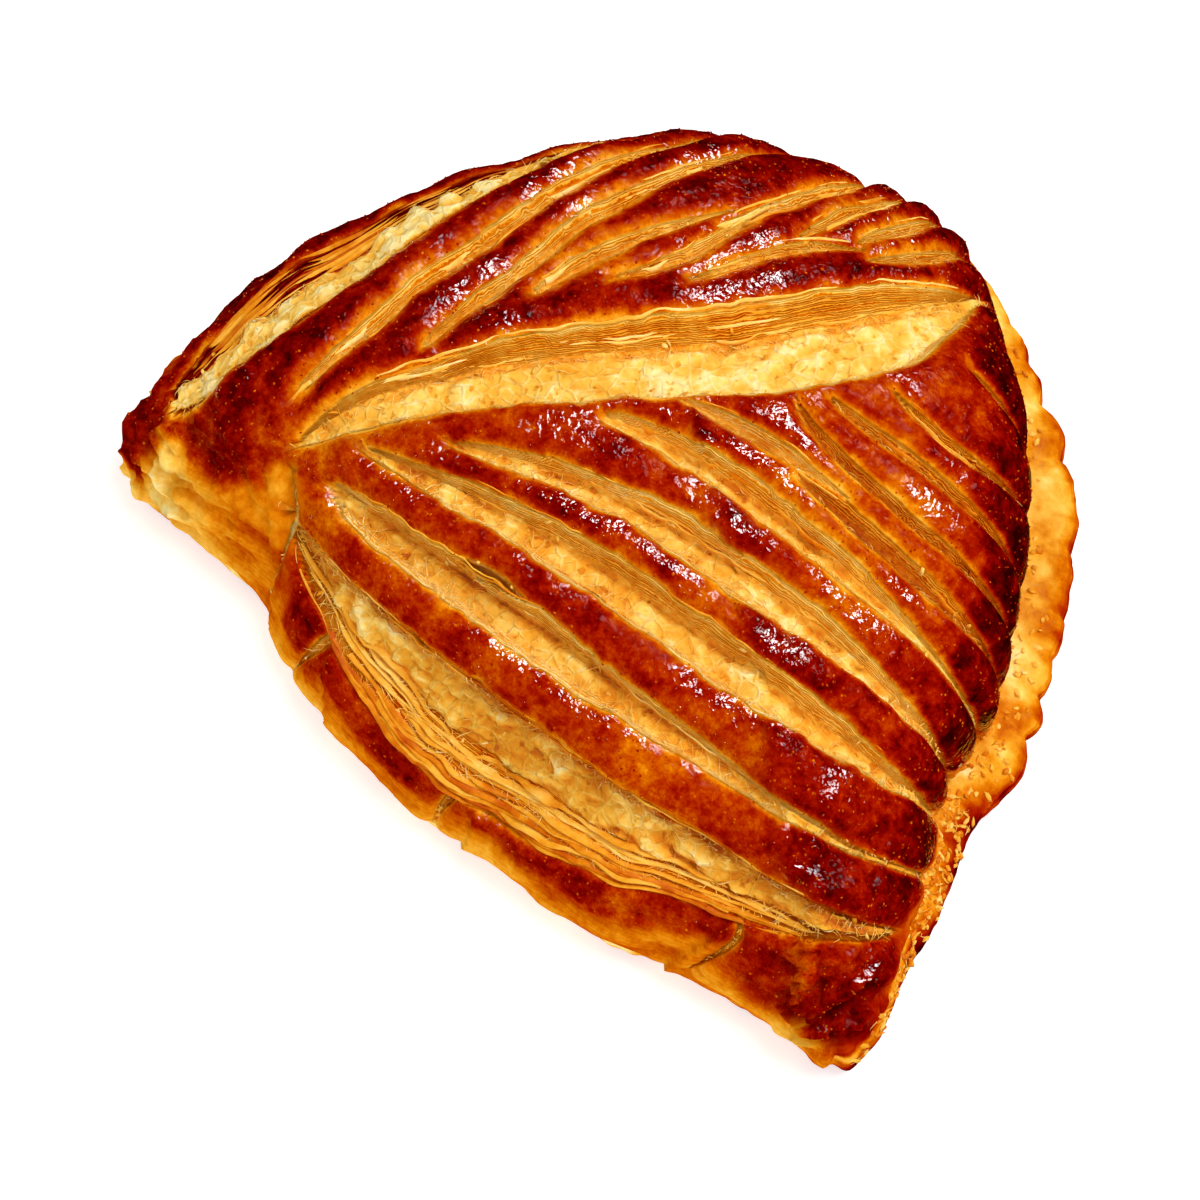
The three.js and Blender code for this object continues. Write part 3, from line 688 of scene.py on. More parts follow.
def rim_rings(angle, length_share):
    """Rings from the lid's edge over the sealed rim, or round the fold, and under to the base."""
    line = Spokes(angle)
    pinch = length_share * SCALLOPS
    pinch += 1.2 * noise(pinch, 2.6, 70)
    crimp = np.abs(np.sin(np.pi * pinch)) ** SCALLOP_ROUND
    uneven = 0.8 + 1.0 * noise(pinch, 1.7, 71)
    edge = line.edge + SCALLOP_OUT * uneven * line.rim * (crimp - 0.5)
    lip = line.foot + (RIM_EDGE - line.foot) * line.rim
    crease = line.foot - RIM_CREASE
    width = edge - line.lid_edge
    rim_rows = [(line.lid_edge + out * width, crease + up * (lip - crease) + more)
                for out, up, more in RIM_TOP_ROWS]
    rim_rows.append((line.lid_edge + RIM_LIP_AT * width, lip))
    rim_rows.extend((edge + out, up * lip) for out, up in RIM_SIDE_ROWS)
    rings = []
    for k, (out, z) in enumerate(rim_rows):
        bend = math.pi / 2 * (k + 1) / len(rim_rows)
        fold_out = edge - BASE_ROUND * (1.0 - math.cos(bend))
        fold_z = line.foot * (1.0 - math.sin(bend))
        ring_out = fold_out + (out - fold_out) * line.rim
        ring_z = fold_z + (z - fold_z) * line.rim
        ring = line.points(ring_out, ring_z)
        lumps = 0.7 * rough(ring, 7.0, 72, 2) + 0.4 * rough(ring, 2.4, 75, 2)
        held = min(1.0, 0.35 * (k + 1)) * (0.0 if k + 1 == len(rim_rows) else 1.0)
        ring[:, :2] += line.unit * (lumps * held)[:, None]
        rise = 0.8 * rough(ring, 6.0, 76, 2) + 0.6 * rough(ring, 2.0, 78, 2) + 0.4 * (crimp - 0.5)
        ring[:, 2] = np.maximum(ring[:, 2] + held * rise, 0.0)
        rings.append(ring)
    base = rings[-1]
    middle = np.append(CROWN, 0.0)
    rings.extend(middle + (base - middle) * share for share in BASE_SHARES)
    return rings, len(rim_rows)


# Browning of the rim's rings, from the crease at the lid over the top to the base
RIM_BAKE = np.array((0.16, 0.14, 0.2, 0.27, 0.34, 0.44, 0.6, 0.62, 0.54, 0.48, 0.46, 0.46, 0.46))
CRUMBLY_AT = 12.0       # turn in degrees where the rim is most crumbly
CRUMBLY_WIDE = 14.0
PALE_RIM_AT = 48.0      # turn where it is a little paler
PALE_RIM_WIDE = 20.0


def band_triangles(starts, tip):
    """Triangles between rings that start at given points, and from the last ring to a tip."""
    triangles = []
    for a, b in zip(starts, starts[1:]):
        for i in range(LOOP_POINTS):
            j = (i + 1) % LOOP_POINTS
            triangles.append((a + i, b + i, b + j))
            triangles.append((a + i, b + j, a + j))
    last = starts[-1]
    triangles.extend((last + i, tip, last + (i + 1) % LOOP_POINTS) for i in range(LOOP_POINTS))
    return triangles


def rim_bake(points, row, degrees):
    """How far the rim has browned, and how crumbly it is."""
    bake = 0.03 + RIM_BAKE[row] + 0.3 * rough(points, 6.0, 81) + 0.16 * noise(points, 1.8, 84)
    bake += 0.2 * hump(degrees, 0.0, KNOB_WIDE + CRUMBLY_WIDE)
    bake -= 0.05 * hump(degrees, PALE_RIM_AT, PALE_RIM_WIDE)
    near_corner = hump(degrees, CRUMBLY_AT, CRUMBLY_WIDE)
    crumbly = (row < 3 + 3 * near_corner) * (points[:, 2] > 4.0) * (0.1 + 0.5 * near_corner)
    crumbly *= smooth_step(0.0, 0.1, np.sin(np.radians(degrees)) + 0.1 * near_corner)
    return bake, crumbly


def pastry_surface():
    """Points, triangles and looks of the whole closed crust."""
    places = lid_places()
    looks = lid_relief(places)
    moved = places + looks["shift"]
    points, share = lid_surface(moved)
    points += lid_normals(moved) * looks["height"][:, None]
    washed, bake = lid_bake(places, share, looks)
    order = [Vector(place) for place in places]
    made = delaunay_2d_cdt(order, [], [list(range(LOOP_POINTS))], 1, 1e-7)
    triangles = [tuple(made[3][corner][0] for corner in face) for face in made[2]]

    length_share = np.arange(LOOP_POINTS) / LOOP_POINTS
    angle = np.interp(length_share * OUTLINE["length"][-1], OUTLINE["length"], OUTLINE["angle"])
    rings, rim_count = rim_rings(angle, length_share)
    rest = np.concatenate((*rings, np.append(CROWN, 0.0)[None]))
    whole = np.concatenate((points, rest))
    starts = [0, *(len(points) + k * LOOP_POINTS for k in range(len(rings)))]
    triangles.extend(band_triangles(starts, len(whole) - 1))
    row = np.minimum(np.arange(len(rest)) // LOOP_POINTS, rim_count)
    degrees = np.append(np.tile(Spokes(angle).degrees, len(rings)), 0.0)
    edge_bake, crumbly = rim_bake(rest, row, degrees)
    open_slit = smooth_step(0.0, 0.2, looks["down"])
    none = np.zeros(len(rest))
    lid_and_rim = {
        "washed": (washed, none),
        "bake": (bake, edge_bake),
        "floor": (looks["floor"], none),
        "layer": (looks["layer"], 0.5 * row),
        "lines": (looks["lines"], 0.5 * (row > 5)),
        "bare": (open_slit * looks["torn"], 1.5 * crumbly),
        "crumbly": (np.zeros(len(places)), crumbly),
        "blistered": (smooth_step(0.6, 0.9, washed), none),
        "threads": (looks["threads"], 0.2 * crumbly),
        "coarse": (0.2 + 0.8 * open_slit * (1.0 - 0.7 * looks["floor"]), 0.6 + 0.3 * (row < 3)),
    }
    attributes = {key: np.concatenate(pair) for key, pair in lid_and_rim.items()}
    return whole, triangles, attributes


def shown(name, data):
    """A new object in the scene."""
    made = bpy.data.objects.new(name, data)
    bpy.context.scene.collection.objects.link(made)
    return made


def smooth_mesh(name, points, faces):
    """A smoothly shaded mesh from points in millimetres."""
    mesh = bpy.data.meshes.new(name)
    mesh.from_pydata(np.asarray(points) * MM, [], faces)
    mesh.polygons.foreach_set("use_smooth", [True] * len(mesh.polygons))
    return mesh


def mesh_object(name, points, faces, attributes, material):
    """A shown object from points in millimetres, with a number per point for each attribute."""
    mesh = smooth_mesh(name, points, faces)
    for key, values in attributes.items():
        layer = mesh.attributes.new(key, "FLOAT", "POINT")
        layer.data.foreach_set("value", np.asarray(values, dtype=np.float32))
    mesh.materials.append(material)
    mesh.validate()
    return shown(name, mesh)


# Node helpers
def feed(tree, sockets, values):
    """Sets or links the named ones of some sockets."""
    for key, value in values.items():
        if isinstance(value, bpy.types.NodeSocket):
            tree.links.new(value, sockets[key])
        else:
            sockets[key].default_value = value


def add(tree, kind, inputs=None, **settings):
    """A node with its settings made and its named inputs set or linked."""
    node = tree.nodes.new(kind)
    for key, value in settings.items():
        setattr(node, key, value)
    feed(tree, node.inputs, inputs or {})
    return node


def calc(tree, operation, first, second=0.0):
    """Output of a maths node on two values."""
    return add(tree, "ShaderNodeMath", {0: first, 1: second}, operation=operation).outputs[0]


def fitted(tree, value, low, high, to_low, to_high):
    """Output of a value taken from one range to another and held there."""
    inputs = {"Value": value, "From Min": low, "From Max": high, "To Min": to_low, "To Max": to_high}
    return add(tree, "ShaderNodeMapRange", inputs).outputs["Result"]


def linear(red, green, blue):
    """A colour of 0 to 255 screen values as linear light."""
    def value(c):
        c = c / 255.0
        return c / 12.92 if c <= 0.04045 else ((c + 0.055) / 1.055) ** 2.4
    return (value(red), value(green), value(blue), 1.0)


def new_group(name, inputs, outputs):
    """An empty shader group with named sockets, each a name, a kind and a start value."""
    tree = bpy.data.node_groups.new(name, "ShaderNodeTree")
    for key, kind, start in inputs:
        socket = tree.interface.new_socket(key, in_out="INPUT", socket_type="NodeSocket" + kind)
        socket.default_value = start
    for key, kind in outputs:
        tree.interface.new_socket(key, in_out="OUTPUT", socket_type="NodeSocket" + kind)
    return tree, add(tree, "NodeGroupInput").outputs, add(tree, "NodeGroupOutput").inputs


OVEN_COLOURS = (
    (0.0, (255, 234, 164)),
    (0.1, (254, 212, 108)),
    (0.2, (246, 184, 66)),
    (0.3, (236, 160, 36)),
    (0.4, (220, 126, 8)),
    (0.5, (196, 88, 0)),
    (0.6, (174, 50, 0)),
    (0.7, (150, 18, 0)),
    (0.8, (120, 2, 0)),
    (0.9, (78, 0, 0)),
    (1.0, (36, 0, 0)),
)
SPONGE = (232, 182, 84)   # the moist dough on the slits' floors


def oven_colours():
    """Group: from how far dough has browned to its colour."""
    tree, inputs, outputs = new_group(
        "oven colours", [("Bake", "Float", 0.5)], [("Color", "Color")])
    ramp = add(tree, "ShaderNodeValToRGB", {"Fac": inputs["Bake"]})
    stops = ramp.color_ramp.elements
    for at, _ in OVEN_COLOURS[1:-1]:
        stops.new(at)
    for stop, (at, colour) in zip(stops, OVEN_COLOURS):
        stop.position = at
        stop.color = linear(*colour)
    feed(tree, outputs, {"Color": ramp.outputs["Color"]})
    return tree


def place_and_scale(tree, size):
    """Outputs for a texture with features of a size in millimetres."""
    place = add(tree, "ShaderNodeTexCoord").outputs["Object"]
    return place, calc(tree, "DIVIDE", 1.0 / MM, size)


def mottle():
    """Group: blotches of a given size in millimetres, from -1 to 1."""
    tree, inputs, outputs = new_group(
        "mottle", [("Size", "Float", 1.0), ("Detail", "Float", 3.0)],
        [("Value", "Float")])
    place, scale = place_and_scale(tree, inputs["Size"])
    blotch = add(tree, "ShaderNodeTexNoise", {"Vector": place, "Scale": scale, "Detail": inputs["Detail"]})
    tree.links.new(fitted(tree, blotch.outputs["Fac"], 0.25, 0.75, -1.0, 1.0), outputs["Value"])
    return tree


def grouped(tree, group, inputs):
    """A node that uses a shader group."""
    return add(tree, "ShaderNodeGroup", inputs, node_tree=group)


def new_material(name):
    material = bpy.data.materials.new(name)
    material.use_nodes = True
    tree = material.node_tree
    return material, tree, tree.nodes["Principled BSDF"]


def attribute(tree, name):
    return add(tree, "ShaderNodeAttribute", attribute_name=name).outputs["Fac"]


def mixed(tree, share, first, second):
    """Output of a value that goes from the first to the second with a share."""
    inputs = {"Factor": share, "A": first, "B": second}
    return add(tree, "ShaderNodeMix", inputs, data_type="FLOAT").outputs["Result"]


def summed(tree, *parts):
    """Output of the sum of values, each times a weight."""
    total = 0.0
    for value, weight in parts:
        node = add(tree, "ShaderNodeMath", {0: value, 1: weight, 2: total}, operation="MULTIPLY_ADD")
        total = node.outputs[0]
    return total


def webbing():
    """Group: thin curved threads round bubbles of a size in millimetres, 1 on a thread."""
    tree, inputs, outputs = new_group(
        "webbing", [("Size", "Float", 1.5), ("Thread", "Float", 0.12)],
        [("Thread", "Float")])
    place, scale = place_and_scale(tree, inputs["Size"])
    bend = add(tree, "ShaderNodeTexNoise", {"Vector": place, "Scale": calc(tree, "MULTIPLY", scale, 1.3)})
    bend = bend.outputs["Color"]
    bent = add(tree, "ShaderNodeVectorMath", {0: bend, "Scale": 0.8 * MM}, operation="SCALE")
    moved = add(tree, "ShaderNodeVectorMath", {0: place, 1: bent.outputs[0]}, operation="ADD").outputs[0]
    cells = add(tree, "ShaderNodeTexVoronoi", {"Vector": moved, "Scale": scale}, feature="DISTANCE_TO_EDGE")
    thread = fitted(tree, cells.outputs["Distance"], 0.0, inputs["Thread"], 1.0, 0.0)
    tree.links.new(thread, outputs["Thread"])
    return tree


def crust_material(groups):
    material, tree, shader = new_material("crust")
    washed = attribute(tree, "washed")
    bake = attribute(tree, "bake")
    floor = attribute(tree, "floor")
    layer = attribute(tree, "layer")
    lines = attribute(tree, "lines")
    coarse = attribute(tree, "coarse")

    def blotch(size, detail=3.0):
        return grouped(tree, groups["mottle"], {"Size": size, "Detail": detail}).outputs["Value"]

    wide, middle, fine = blotch(2.6), blotch(1.0), blotch(0.35)
    thread = grouped(tree, groups["webbing"], {"Size": 2.6, "Thread": 0.1}).outputs["Thread"]
    line = calc(tree, "SINE", summed(tree, (layer, 15.0), (middle, 1.5), (fine, 0.8)))
    line = calc(tree, "MULTIPLY", line, lines)
    glazed = summed(tree, (wide, 0.11), (middle, 0.08), (fine, 0.05))
    layered = summed(tree, (line, 0.14), (wide, 0.06), (middle, 0.05), (fine, 0.02))
    # Dark spots that are also hollows in the floor's bump: painted shade in its pits
    pit_shade = fitted(tree, blotch(1.6, 2.0), -0.8, -0.5, 1.0, 0.0)
    spongy = summed(tree, (thread, -0.1), (pit_shade, 0.16), (wide, 0.08), (middle, 0.06))
    bare = mixed(tree, floor, layered, spongy)
    browned = calc(tree, "ADD", bake, mixed(tree, washed, bare, glazed))
    colour = grouped(tree, groups["oven colours"], {"Bake": browned}).outputs["Color"]
    moist = add(tree, "ShaderNodeMix", {
        0: calc(tree, "MULTIPLY", floor, 0.15), 6: colour, 7: linear(*SPONGE)}, data_type="RGBA").outputs[2]
    patch = fitted(tree, blotch(2.4, 3.0), -0.35, -0.05, 0.0, 1.0)
    patch = calc(tree, "MULTIPLY", patch, fitted(tree, blotch(18.0, 1.0), -0.1, 0.25, 0.05, 1.0))
    crackle = calc(tree, "ABSOLUTE", blotch(1.5, 1.0))
    grit = calc(tree, "ABSOLUTE", blotch(0.6, 1.0))
    skin = summed(tree, (wide, 0.5), (crackle, -0.8), (grit, -0.1))
    web = calc(tree, "MULTIPLY", floor, summed(tree, (thread, 1.6), (pit_shade, -1.5), (wide, 1.2)))
    grain = calc(tree, "MULTIPLY", coarse, summed(tree, (fine, 0.3), (middle, 0.6)))
    crumb = summed(tree, (line, 0.6), (web, 1.0), (grain, 1.0))
    height = mixed(tree, washed, crumb, skin)
    bump = add(tree, "ShaderNodeBump", {"Height": height, "Strength": 0.8, "Distance": 0.14 * MM})
    gloss = summed(tree, (wide, 0.7), (crackle, -1.0), (grit, -0.25))
    film = add(tree, "ShaderNodeBump", {"Height": gloss, "Strength": 1.0, "Distance": 0.16 * MM})
    feed(tree, shader.inputs, {
        "Base Color": moist, "Specular IOR Level": 0.0, "Roughness": mixed(tree, washed, 0.5, 0.35),
        "Coat Weight": mixed(tree, washed, 0.03, patch), "Coat Roughness": 0.02,
        "Normal": bump.outputs["Normal"], "Coat Normal": film.outputs["Normal"]})
    return material


def crumb_material(groups):
    """The bare dough of separate layers, threads and flakes; each point has its own browning."""
    material, tree, shader = new_material("crumb")
    bake = attribute(tree, "bake")
    middle = grouped(tree, groups["mottle"], {"Size": 1.2, "Detail": 3.0}).outputs["Value"]
    browned = summed(tree, (bake, 1.0), (middle, 0.06))
    colour = grouped(tree, groups["oven colours"], {"Bake": browned}).outputs["Color"]
    feed(tree, shader.inputs, {"Base Color": colour, "Roughness": 0.45, "Specular IOR Level": 0.04})
    return material


def floor_material():
    material, tree, shader = new_material("studio floor")
    feed(tree, shader.inputs, {
        "Base Color": (0.7, 0.7, 0.7, 1.0), "Roughness": 0.8,
        "Emission Color": (1.0, 1.0, 1.0, 1.0), "Emission Strength": FLOOR_GLOW})
    return material


# Separate layers in the walls
SHEET_STEP = 0.42       # distance between two layers along a wall seen from above
SHEET_DROP = 0.34       # least depth between two layers
SHEET_STATION = 0.8     # distance between a layer's points
SHEET_WIDE = 1.6        # width of a layer's strip, most of it inside the wall
SHEET_THICK = 0.2
SHEET_OUT = 0.34        # how far a layer stands out of its wall
SHEET_DRIFT = 2.2       # how far a layer drifts up and down a wide wall, in layers
SHEET_SAG = 0.6         # how far one sags or rises there
ROOT_EVERY = 0.8        # distance between the threads that hang from a wide slit's wall
ROOT_SIZE = 0.16        # their width as a share of a layer's
ROOT_POINTS = 9
ROOTED = ((FOLD_FAN, 1.0), (FOLD_SIDE[0], -1.0), (FOLD_SIDE[1], -1.0), (FOLD_SIDE[2], -1.0))


def layer_line(slit, side, level, levels):
    """One layer that stands out of a wall: points, up directions, browning and size."""
    fan = slit.sheets
    key = np.array([[slit.seed, level + 50 * (side > 0)]])
    draw = [float(lattice(key, seed)[0]) for seed in (11, 12, 13, 14)]
    short = 0.12 * fan**2
    first, last = 0.02 + short * draw[0], 0.98 - short * draw[1]
    run = np.arange(first, last, SHEET_STATION / slit.length) * slit.length
    t = run / slit.length
    opening = slit.opening(t)
    lip = slit.lip(t, side)
    edge = slit.floor_edge(t, side)
    wave = paired(run, np.full(len(t), SHEETS_APART * level + WALLS_APART * side))
    drift = SHEET_DRIFT * (fan != 1.0) * rough(wave, 20.0, slit.seed + 29, 2)
    down = np.clip((level + 0.5 + drift) / levels, 0.0, 1.0)
    stray = 0.6 + 1.2 * rough(wave, 9.0, slit.seed + 21, 2) + 0.5 * noise(wave, 1.8, slit.seed + 22)
    lowest = 1.0 + 1.2 * (level == levels - 1)
    out = SHEET_OUT * fan * lowest * stray * np.minimum(1.0, opening * 1.3)
    across = lip + (edge - lip) * down + side * (SHEET_WIDE / 2 - out)
    places = slit.place(t, across)
    up = lid_normals(places)
    height = slit.height(opening, down)
    height += (0.14 + SHEET_SAG * (fan > 1.0)) * noise(wave, 6.0, slit.seed + 23)
    height += SWAY * rough(places, 11.0, 51, 2)
    surface = lid_surface(places)[0]
    ahead = np.gradient(surface, axis=0)
    aside = np.cross(ahead / np.linalg.norm(ahead, axis=1)[:, None], up)
    tilt = 0.35 * rough(wave, 5.0, slit.seed + 25, 2)
    shade = 0.27 - 0.08 * down + 0.26 * (draw[2] - 0.5) + 0.1 * noise(wave, 3.0, slit.seed + 27)
    shade += 0.4 * slit.toast
    size = np.minimum(1.0, 0.3 + opening) * (0.75 + 0.4 * draw[3]) * fan
    size *= (1.0 + 0.35 * rough(wave, 10.0, slit.seed + 31, 2))
    return surface + up * height[:, None], up + aside * tilt[:, None], shade, size


def root_line(slit, side, run):
    """A thread from a wall's lip down to the floor: points, up directions, browning and size."""
    key = np.array([[slit.seed, round(10.0 * run)]])
    draw = [float(lattice(key, seed)[0]) for seed in (15, 16, 17, 18)]
    s = np.linspace(0.0, 1.0, ROOT_POINTS)
    t = (run + 5.0 * (draw[0] - 0.5) * s) / slit.length
    opening = slit.opening(t)
    lip = slit.lip(t, side)
    edge = slit.floor_edge(t, side) - side * (0.5 + 2.0 * draw[1])
    wave = paired(4.0 * s, np.full(len(s), 3.0 * run))
    start = 0.6 * draw[2]
    across = lip + (edge - lip) * (start + (1.0 - start) * s) + 0.3 * noise(wave, 1.3, slit.seed + 33)
    places = slit.place(t, across)
    up = lid_normals(places)
    fall = start + (1.0 - start) * smooth_step(0.0, 0.8, s)
    height = slit.height(opening, fall) + 0.5 + 0.3 * noise(wave, 1.7, slit.seed + 35)
    height += SWAY * rough(places, 11.0, 51, 2)
    shade = np.full(len(s), 0.04 + 0.16 * draw[3])
    size = ROOT_SIZE * (0.6 + 0.8 * draw[1]) * (1.0 - 0.6 * s)
    return lid_surface(places)[0] + up * height[:, None], up, shade, size


def layer_paths():
    """Lines of the layers and threads on the slits' walls, joined, and the edges between points."""
    lines = []
    for slit, side in itertools.product(OPEN_SLITS, (1.0, -1.0)):
        levels = max(2, round(min(slit.wall(side) / SHEET_STEP, slit.deep / SHEET_DROP / slit.sheets**0.5)))
        lines.extend(layer_line(slit, side, level, levels) for level in range(levels))
    for slit, side in ROOTED:
        runs = np.arange(0.06, 0.9, ROOT_EVERY / slit.length) * slit.length
        lines.extend(root_line(slit, side, run) for run in runs)
    edges, count = [], 0
    for points, *_ in lines:
        edges.extend((count + i, count + i + 1) for i in range(len(points) - 1))
        count += len(points)
    return [np.concatenate(column) for column in zip(*lines)], edges


def new_geometry_tree(name, inputs):
    """An empty geometry tree with named inputs, each a name, a kind and a start value or none."""
    tree = bpy.data.node_groups.new(name, "GeometryNodeTree")
    tree.interface.new_socket("Geometry", in_out="INPUT", socket_type="NodeSocketGeometry")
    for key, kind, start in inputs:
        socket = tree.interface.new_socket(key, in_out="INPUT", socket_type="NodeSocket" + kind)
        if start is not None:
            socket.default_value = start
    tree.interface.new_socket("Geometry", in_out="OUTPUT", socket_type="NodeSocketGeometry")
    return tree, add(tree, "NodeGroupInput").outputs, add(tree, "NodeGroupOutput").inputs


def named(tree, key, kind):
    return add(tree, "GeometryNodeInputNamedAttribute", {"Name": key}, data_type=kind).outputs["Attribute"]


def finish_tree(tree, geometry, inputs, outputs):
    """Ends a geometry tree with real meshes in its material."""
    joined = add(tree, "GeometryNodeRealizeInstances", {"Geometry": geometry}).outputs[0]
    finish = add(tree, "GeometryNodeSetMaterial", {"Geometry": joined, "Material": inputs["Material"]})
    feed(tree, outputs, {"Geometry": finish.outputs[0]})


def layer_tree():
    """Geometry tree: a thin strip of dough along each line, lying square to its up direction."""
    tree, inputs, outputs = new_geometry_tree("dough layers", [
        ("Wide", "Float", SHEET_WIDE * MM), ("Thick", "Float", SHEET_THICK * MM),
        ("Material", "Material", None)])
    curve = add(tree, "GeometryNodeMeshToCurve", {"Mesh": inputs["Geometry"]}).outputs[0]
    up = named(tree, "up", "FLOAT_VECTOR")
    turned = add(tree, "GeometryNodeSetCurveNormal", {"Curve": curve, "Normal": up}, mode="FREE")
    section = add(tree, "GeometryNodeCurvePrimitiveQuadrilateral",
                  {"Width": inputs["Wide"], "Height": inputs["Thick"]}).outputs[0]
    strips = add(tree, "GeometryNodeCurveToMesh", {
        "Curve": turned.outputs[0], "Profile Curve": section, "Scale": named(tree, "size", "FLOAT"),
        "Fill Caps": True}).outputs[0]
    finish_tree(tree, strips, inputs, outputs)
    return tree


def grown(name, source, tree, values):
    """A new object with the mesh that a geometry tree makes from a source mesh."""
    holder = shown(name + "_source", source)
    modifier = holder.modifiers.new("grow", "NODES")
    modifier.node_group = tree
    for item in tree.interface.items_tree:
        if item.in_out == "INPUT" and item.name in values:
            modifier[item.identifier] = values[item.name]
    evaluated = holder.evaluated_get(bpy.context.evaluated_depsgraph_get())
    mesh = bpy.data.meshes.new_from_object(evaluated)
    bpy.data.objects.remove(holder)
    mesh.name = name
    return shown(name, mesh)


def make_layers(material):
    (points, ups, bakes, sizes), edges = layer_paths()
    lines = bpy.data.meshes.new("layer lines")
    lines.from_pydata(points * MM, edges, [])
    lines.attributes.new("up", "FLOAT_VECTOR", "POINT").data.foreach_set("vector", ups.ravel())
    lines.attributes.new("bake", "FLOAT", "POINT").data.foreach_set("value", bakes)
    lines.attributes.new("size", "FLOAT", "POINT").data.foreach_set("value", sizes)
    return grown("pastry_layers", lines, layer_tree(), {"Material": material})


def random_vector(tree, low, high, seed):
    """Output of a random vector between two, one for each copy."""
    inputs = {"Min": low, "Max": high, "Seed": seed}
    return add(tree, "FunctionNodeRandomValue", inputs, data_type="FLOAT_VECTOR").outputs["Value"]


def stored(tree, geometry, key, value, domain):
    """Output of the geometry with a value kept as a named attribute."""
    inputs = {"Geometry": geometry, "Name": key, "Value": value}
    return add(tree, "GeometryNodeStoreNamedAttribute", inputs, data_type="FLOAT", domain=domain).outputs[0]


def scatter_tree():
    """Geometry tree: copies of a shape on a surface, as dense as one of its attributes says."""
    tree, inputs, outputs = new_geometry_tree("scattered bits", [
        ("Shape", "Object", None),
        ("Where", "String", "floor"),
        ("Per square millimetre", "Float", 1.0),
        ("Seed", "Int", 1),
        ("Smallest", "Vector", (0.5, 0.5, 0.5)),
        ("Largest", "Vector", (1.5, 1.5, 1.5)),
        ("Tilt", "Float", 0.5),
        ("Palest", "Float", 0.1),
        ("Brownest", "Float", 0.3),
        ("Washed", "Float", 0.0),
        ("Material", "Material", None),
    ])
    where = add(tree, "GeometryNodeInputNamedAttribute", {"Name": inputs["Where"]}, data_type="FLOAT")
    density = calc(tree, "MULTIPLY", where.outputs["Attribute"], inputs["Per square millimetre"])
    density = calc(tree, "DIVIDE", density, MM * MM)
    spread = add(tree, "GeometryNodeDistributePointsOnFaces", {
        "Mesh": inputs["Geometry"], "Density": density, "Seed": inputs["Seed"]})
    back = calc(tree, "MULTIPLY", inputs["Tilt"], -1.0)
    low = add(tree, "ShaderNodeCombineXYZ", {"X": back, "Y": back, "Z": 0.0}).outputs[0]
    high = add(tree, "ShaderNodeCombineXYZ", {
        "X": inputs["Tilt"], "Y": inputs["Tilt"], "Z": 2.0 * math.pi}).outputs[0]
    turn = add(tree, "FunctionNodeEulerToRotation", {
        "Euler": random_vector(tree, low, high, inputs["Seed"])}).outputs[0]
    facing = add(tree, "FunctionNodeRotateRotation", {
        "Rotation": spread.outputs["Rotation"], "Rotate By": turn}, rotation_space="LOCAL").outputs[0]
    shape = add(tree, "GeometryNodeObjectInfo", {"Object": inputs["Shape"]}).outputs["Geometry"]
    copies = add(tree, "GeometryNodeInstanceOnPoints", {
        "Points": spread.outputs["Points"], "Instance": shape, "Rotation": facing,
        "Scale": random_vector(tree, inputs["Smallest"], inputs["Largest"], 7)}).outputs[0]
    bake = add(tree, "FunctionNodeRandomValue", {
        2: inputs["Palest"], 3: inputs["Brownest"], "Seed": 9}, data_type="FLOAT").outputs[1]
    dyed = stored(tree, copies, "bake", bake, "INSTANCE")
    dyed = stored(tree, dyed, "washed", inputs["Washed"], "INSTANCE")
    finish_tree(tree, dyed, inputs, outputs)
    return tree


def shape_object(name, points, faces):
    """A shape to copy, one millimetre across, that isn't shown itself."""
    return bpy.data.objects.new(name, smooth_mesh(name, points, faces))


def thread_shape():
    """A thin arched thread of three sides with closed ends."""
    steps, sides, radius = 6, 3, 0.055
    points, faces = [], []
    for i in range(steps + 1):
        x = i / steps - 0.5
        thin = radius * (1.0 - 1.6 * abs(x))
        arch = 0.25 - x * x
        for k in range(sides):
            angle = 2.0 * math.pi * k / sides
            y = 0.3 * arch + thin * math.cos(angle)
            points.append((x, y, 1.1 * arch + thin * math.sin(angle)))
    for i, k in itertools.product(range(steps), range(sides)):
        a, b = i * sides + k, i * sides + (k + 1) % sides
        faces.append((a, b, b + sides, a + sides))
    faces.append((2, 1, 0))
    faces.append(tuple(steps * sides + k for k in range(sides)))
    return shape_object("thread", points, faces)


def turned_shape(name, sides, top, rings, uneven):
    """A round shape from its top and rings of radius and height down to a flat foot."""
    points = [(0.0, 0.0, top)]
    for ring, (radius, z) in enumerate(rings):
        for k in range(sides):
            angle = 2.0 * math.pi * k / sides
            out = radius * (1.0 + uneven * math.sin(2.4 * k + 1.7 * ring))
            lift = 0.4 * uneven * math.cos(3.1 * k)
            points.append((out * math.cos(angle), out * math.sin(angle), z + lift))
    faces = [(0, 1 + k, 1 + (k + 1) % sides) for k in range(sides)]
    for ring, k in itertools.product(range(len(rings) - 1), range(sides)):
        a, b = 1 + ring * sides + k, 1 + ring * sides + (k + 1) % sides
        faces.append((a, a + sides, b + sides, b))
    faces.append(tuple(1 + (len(rings) - 1) * sides + k for k in reversed(range(sides))))
    return shape_object(name, points, faces)


def flake_shape():
    """A bent scrap of dough with an uneven edge."""
    corners = ((0.5, 0.05), (0.28, 0.36), (-0.12, 0.3), (-0.5, 0.14),
               (-0.36, -0.2), (0.05, -0.3), (0.36, -0.24))
    thick = 0.12
    points = [(x, y, 0.5 * x * x + side * thick / 2) for side in (1, -1) for x, y in corners]
    count = len(corners)
    faces = [tuple(range(count)), tuple(reversed(range(count, 2 * count)))]
    faces.extend((k, count + k, count + (k + 1) % count, (k + 1) % count) for k in range(count))
    return shape_object("flake", points, faces)


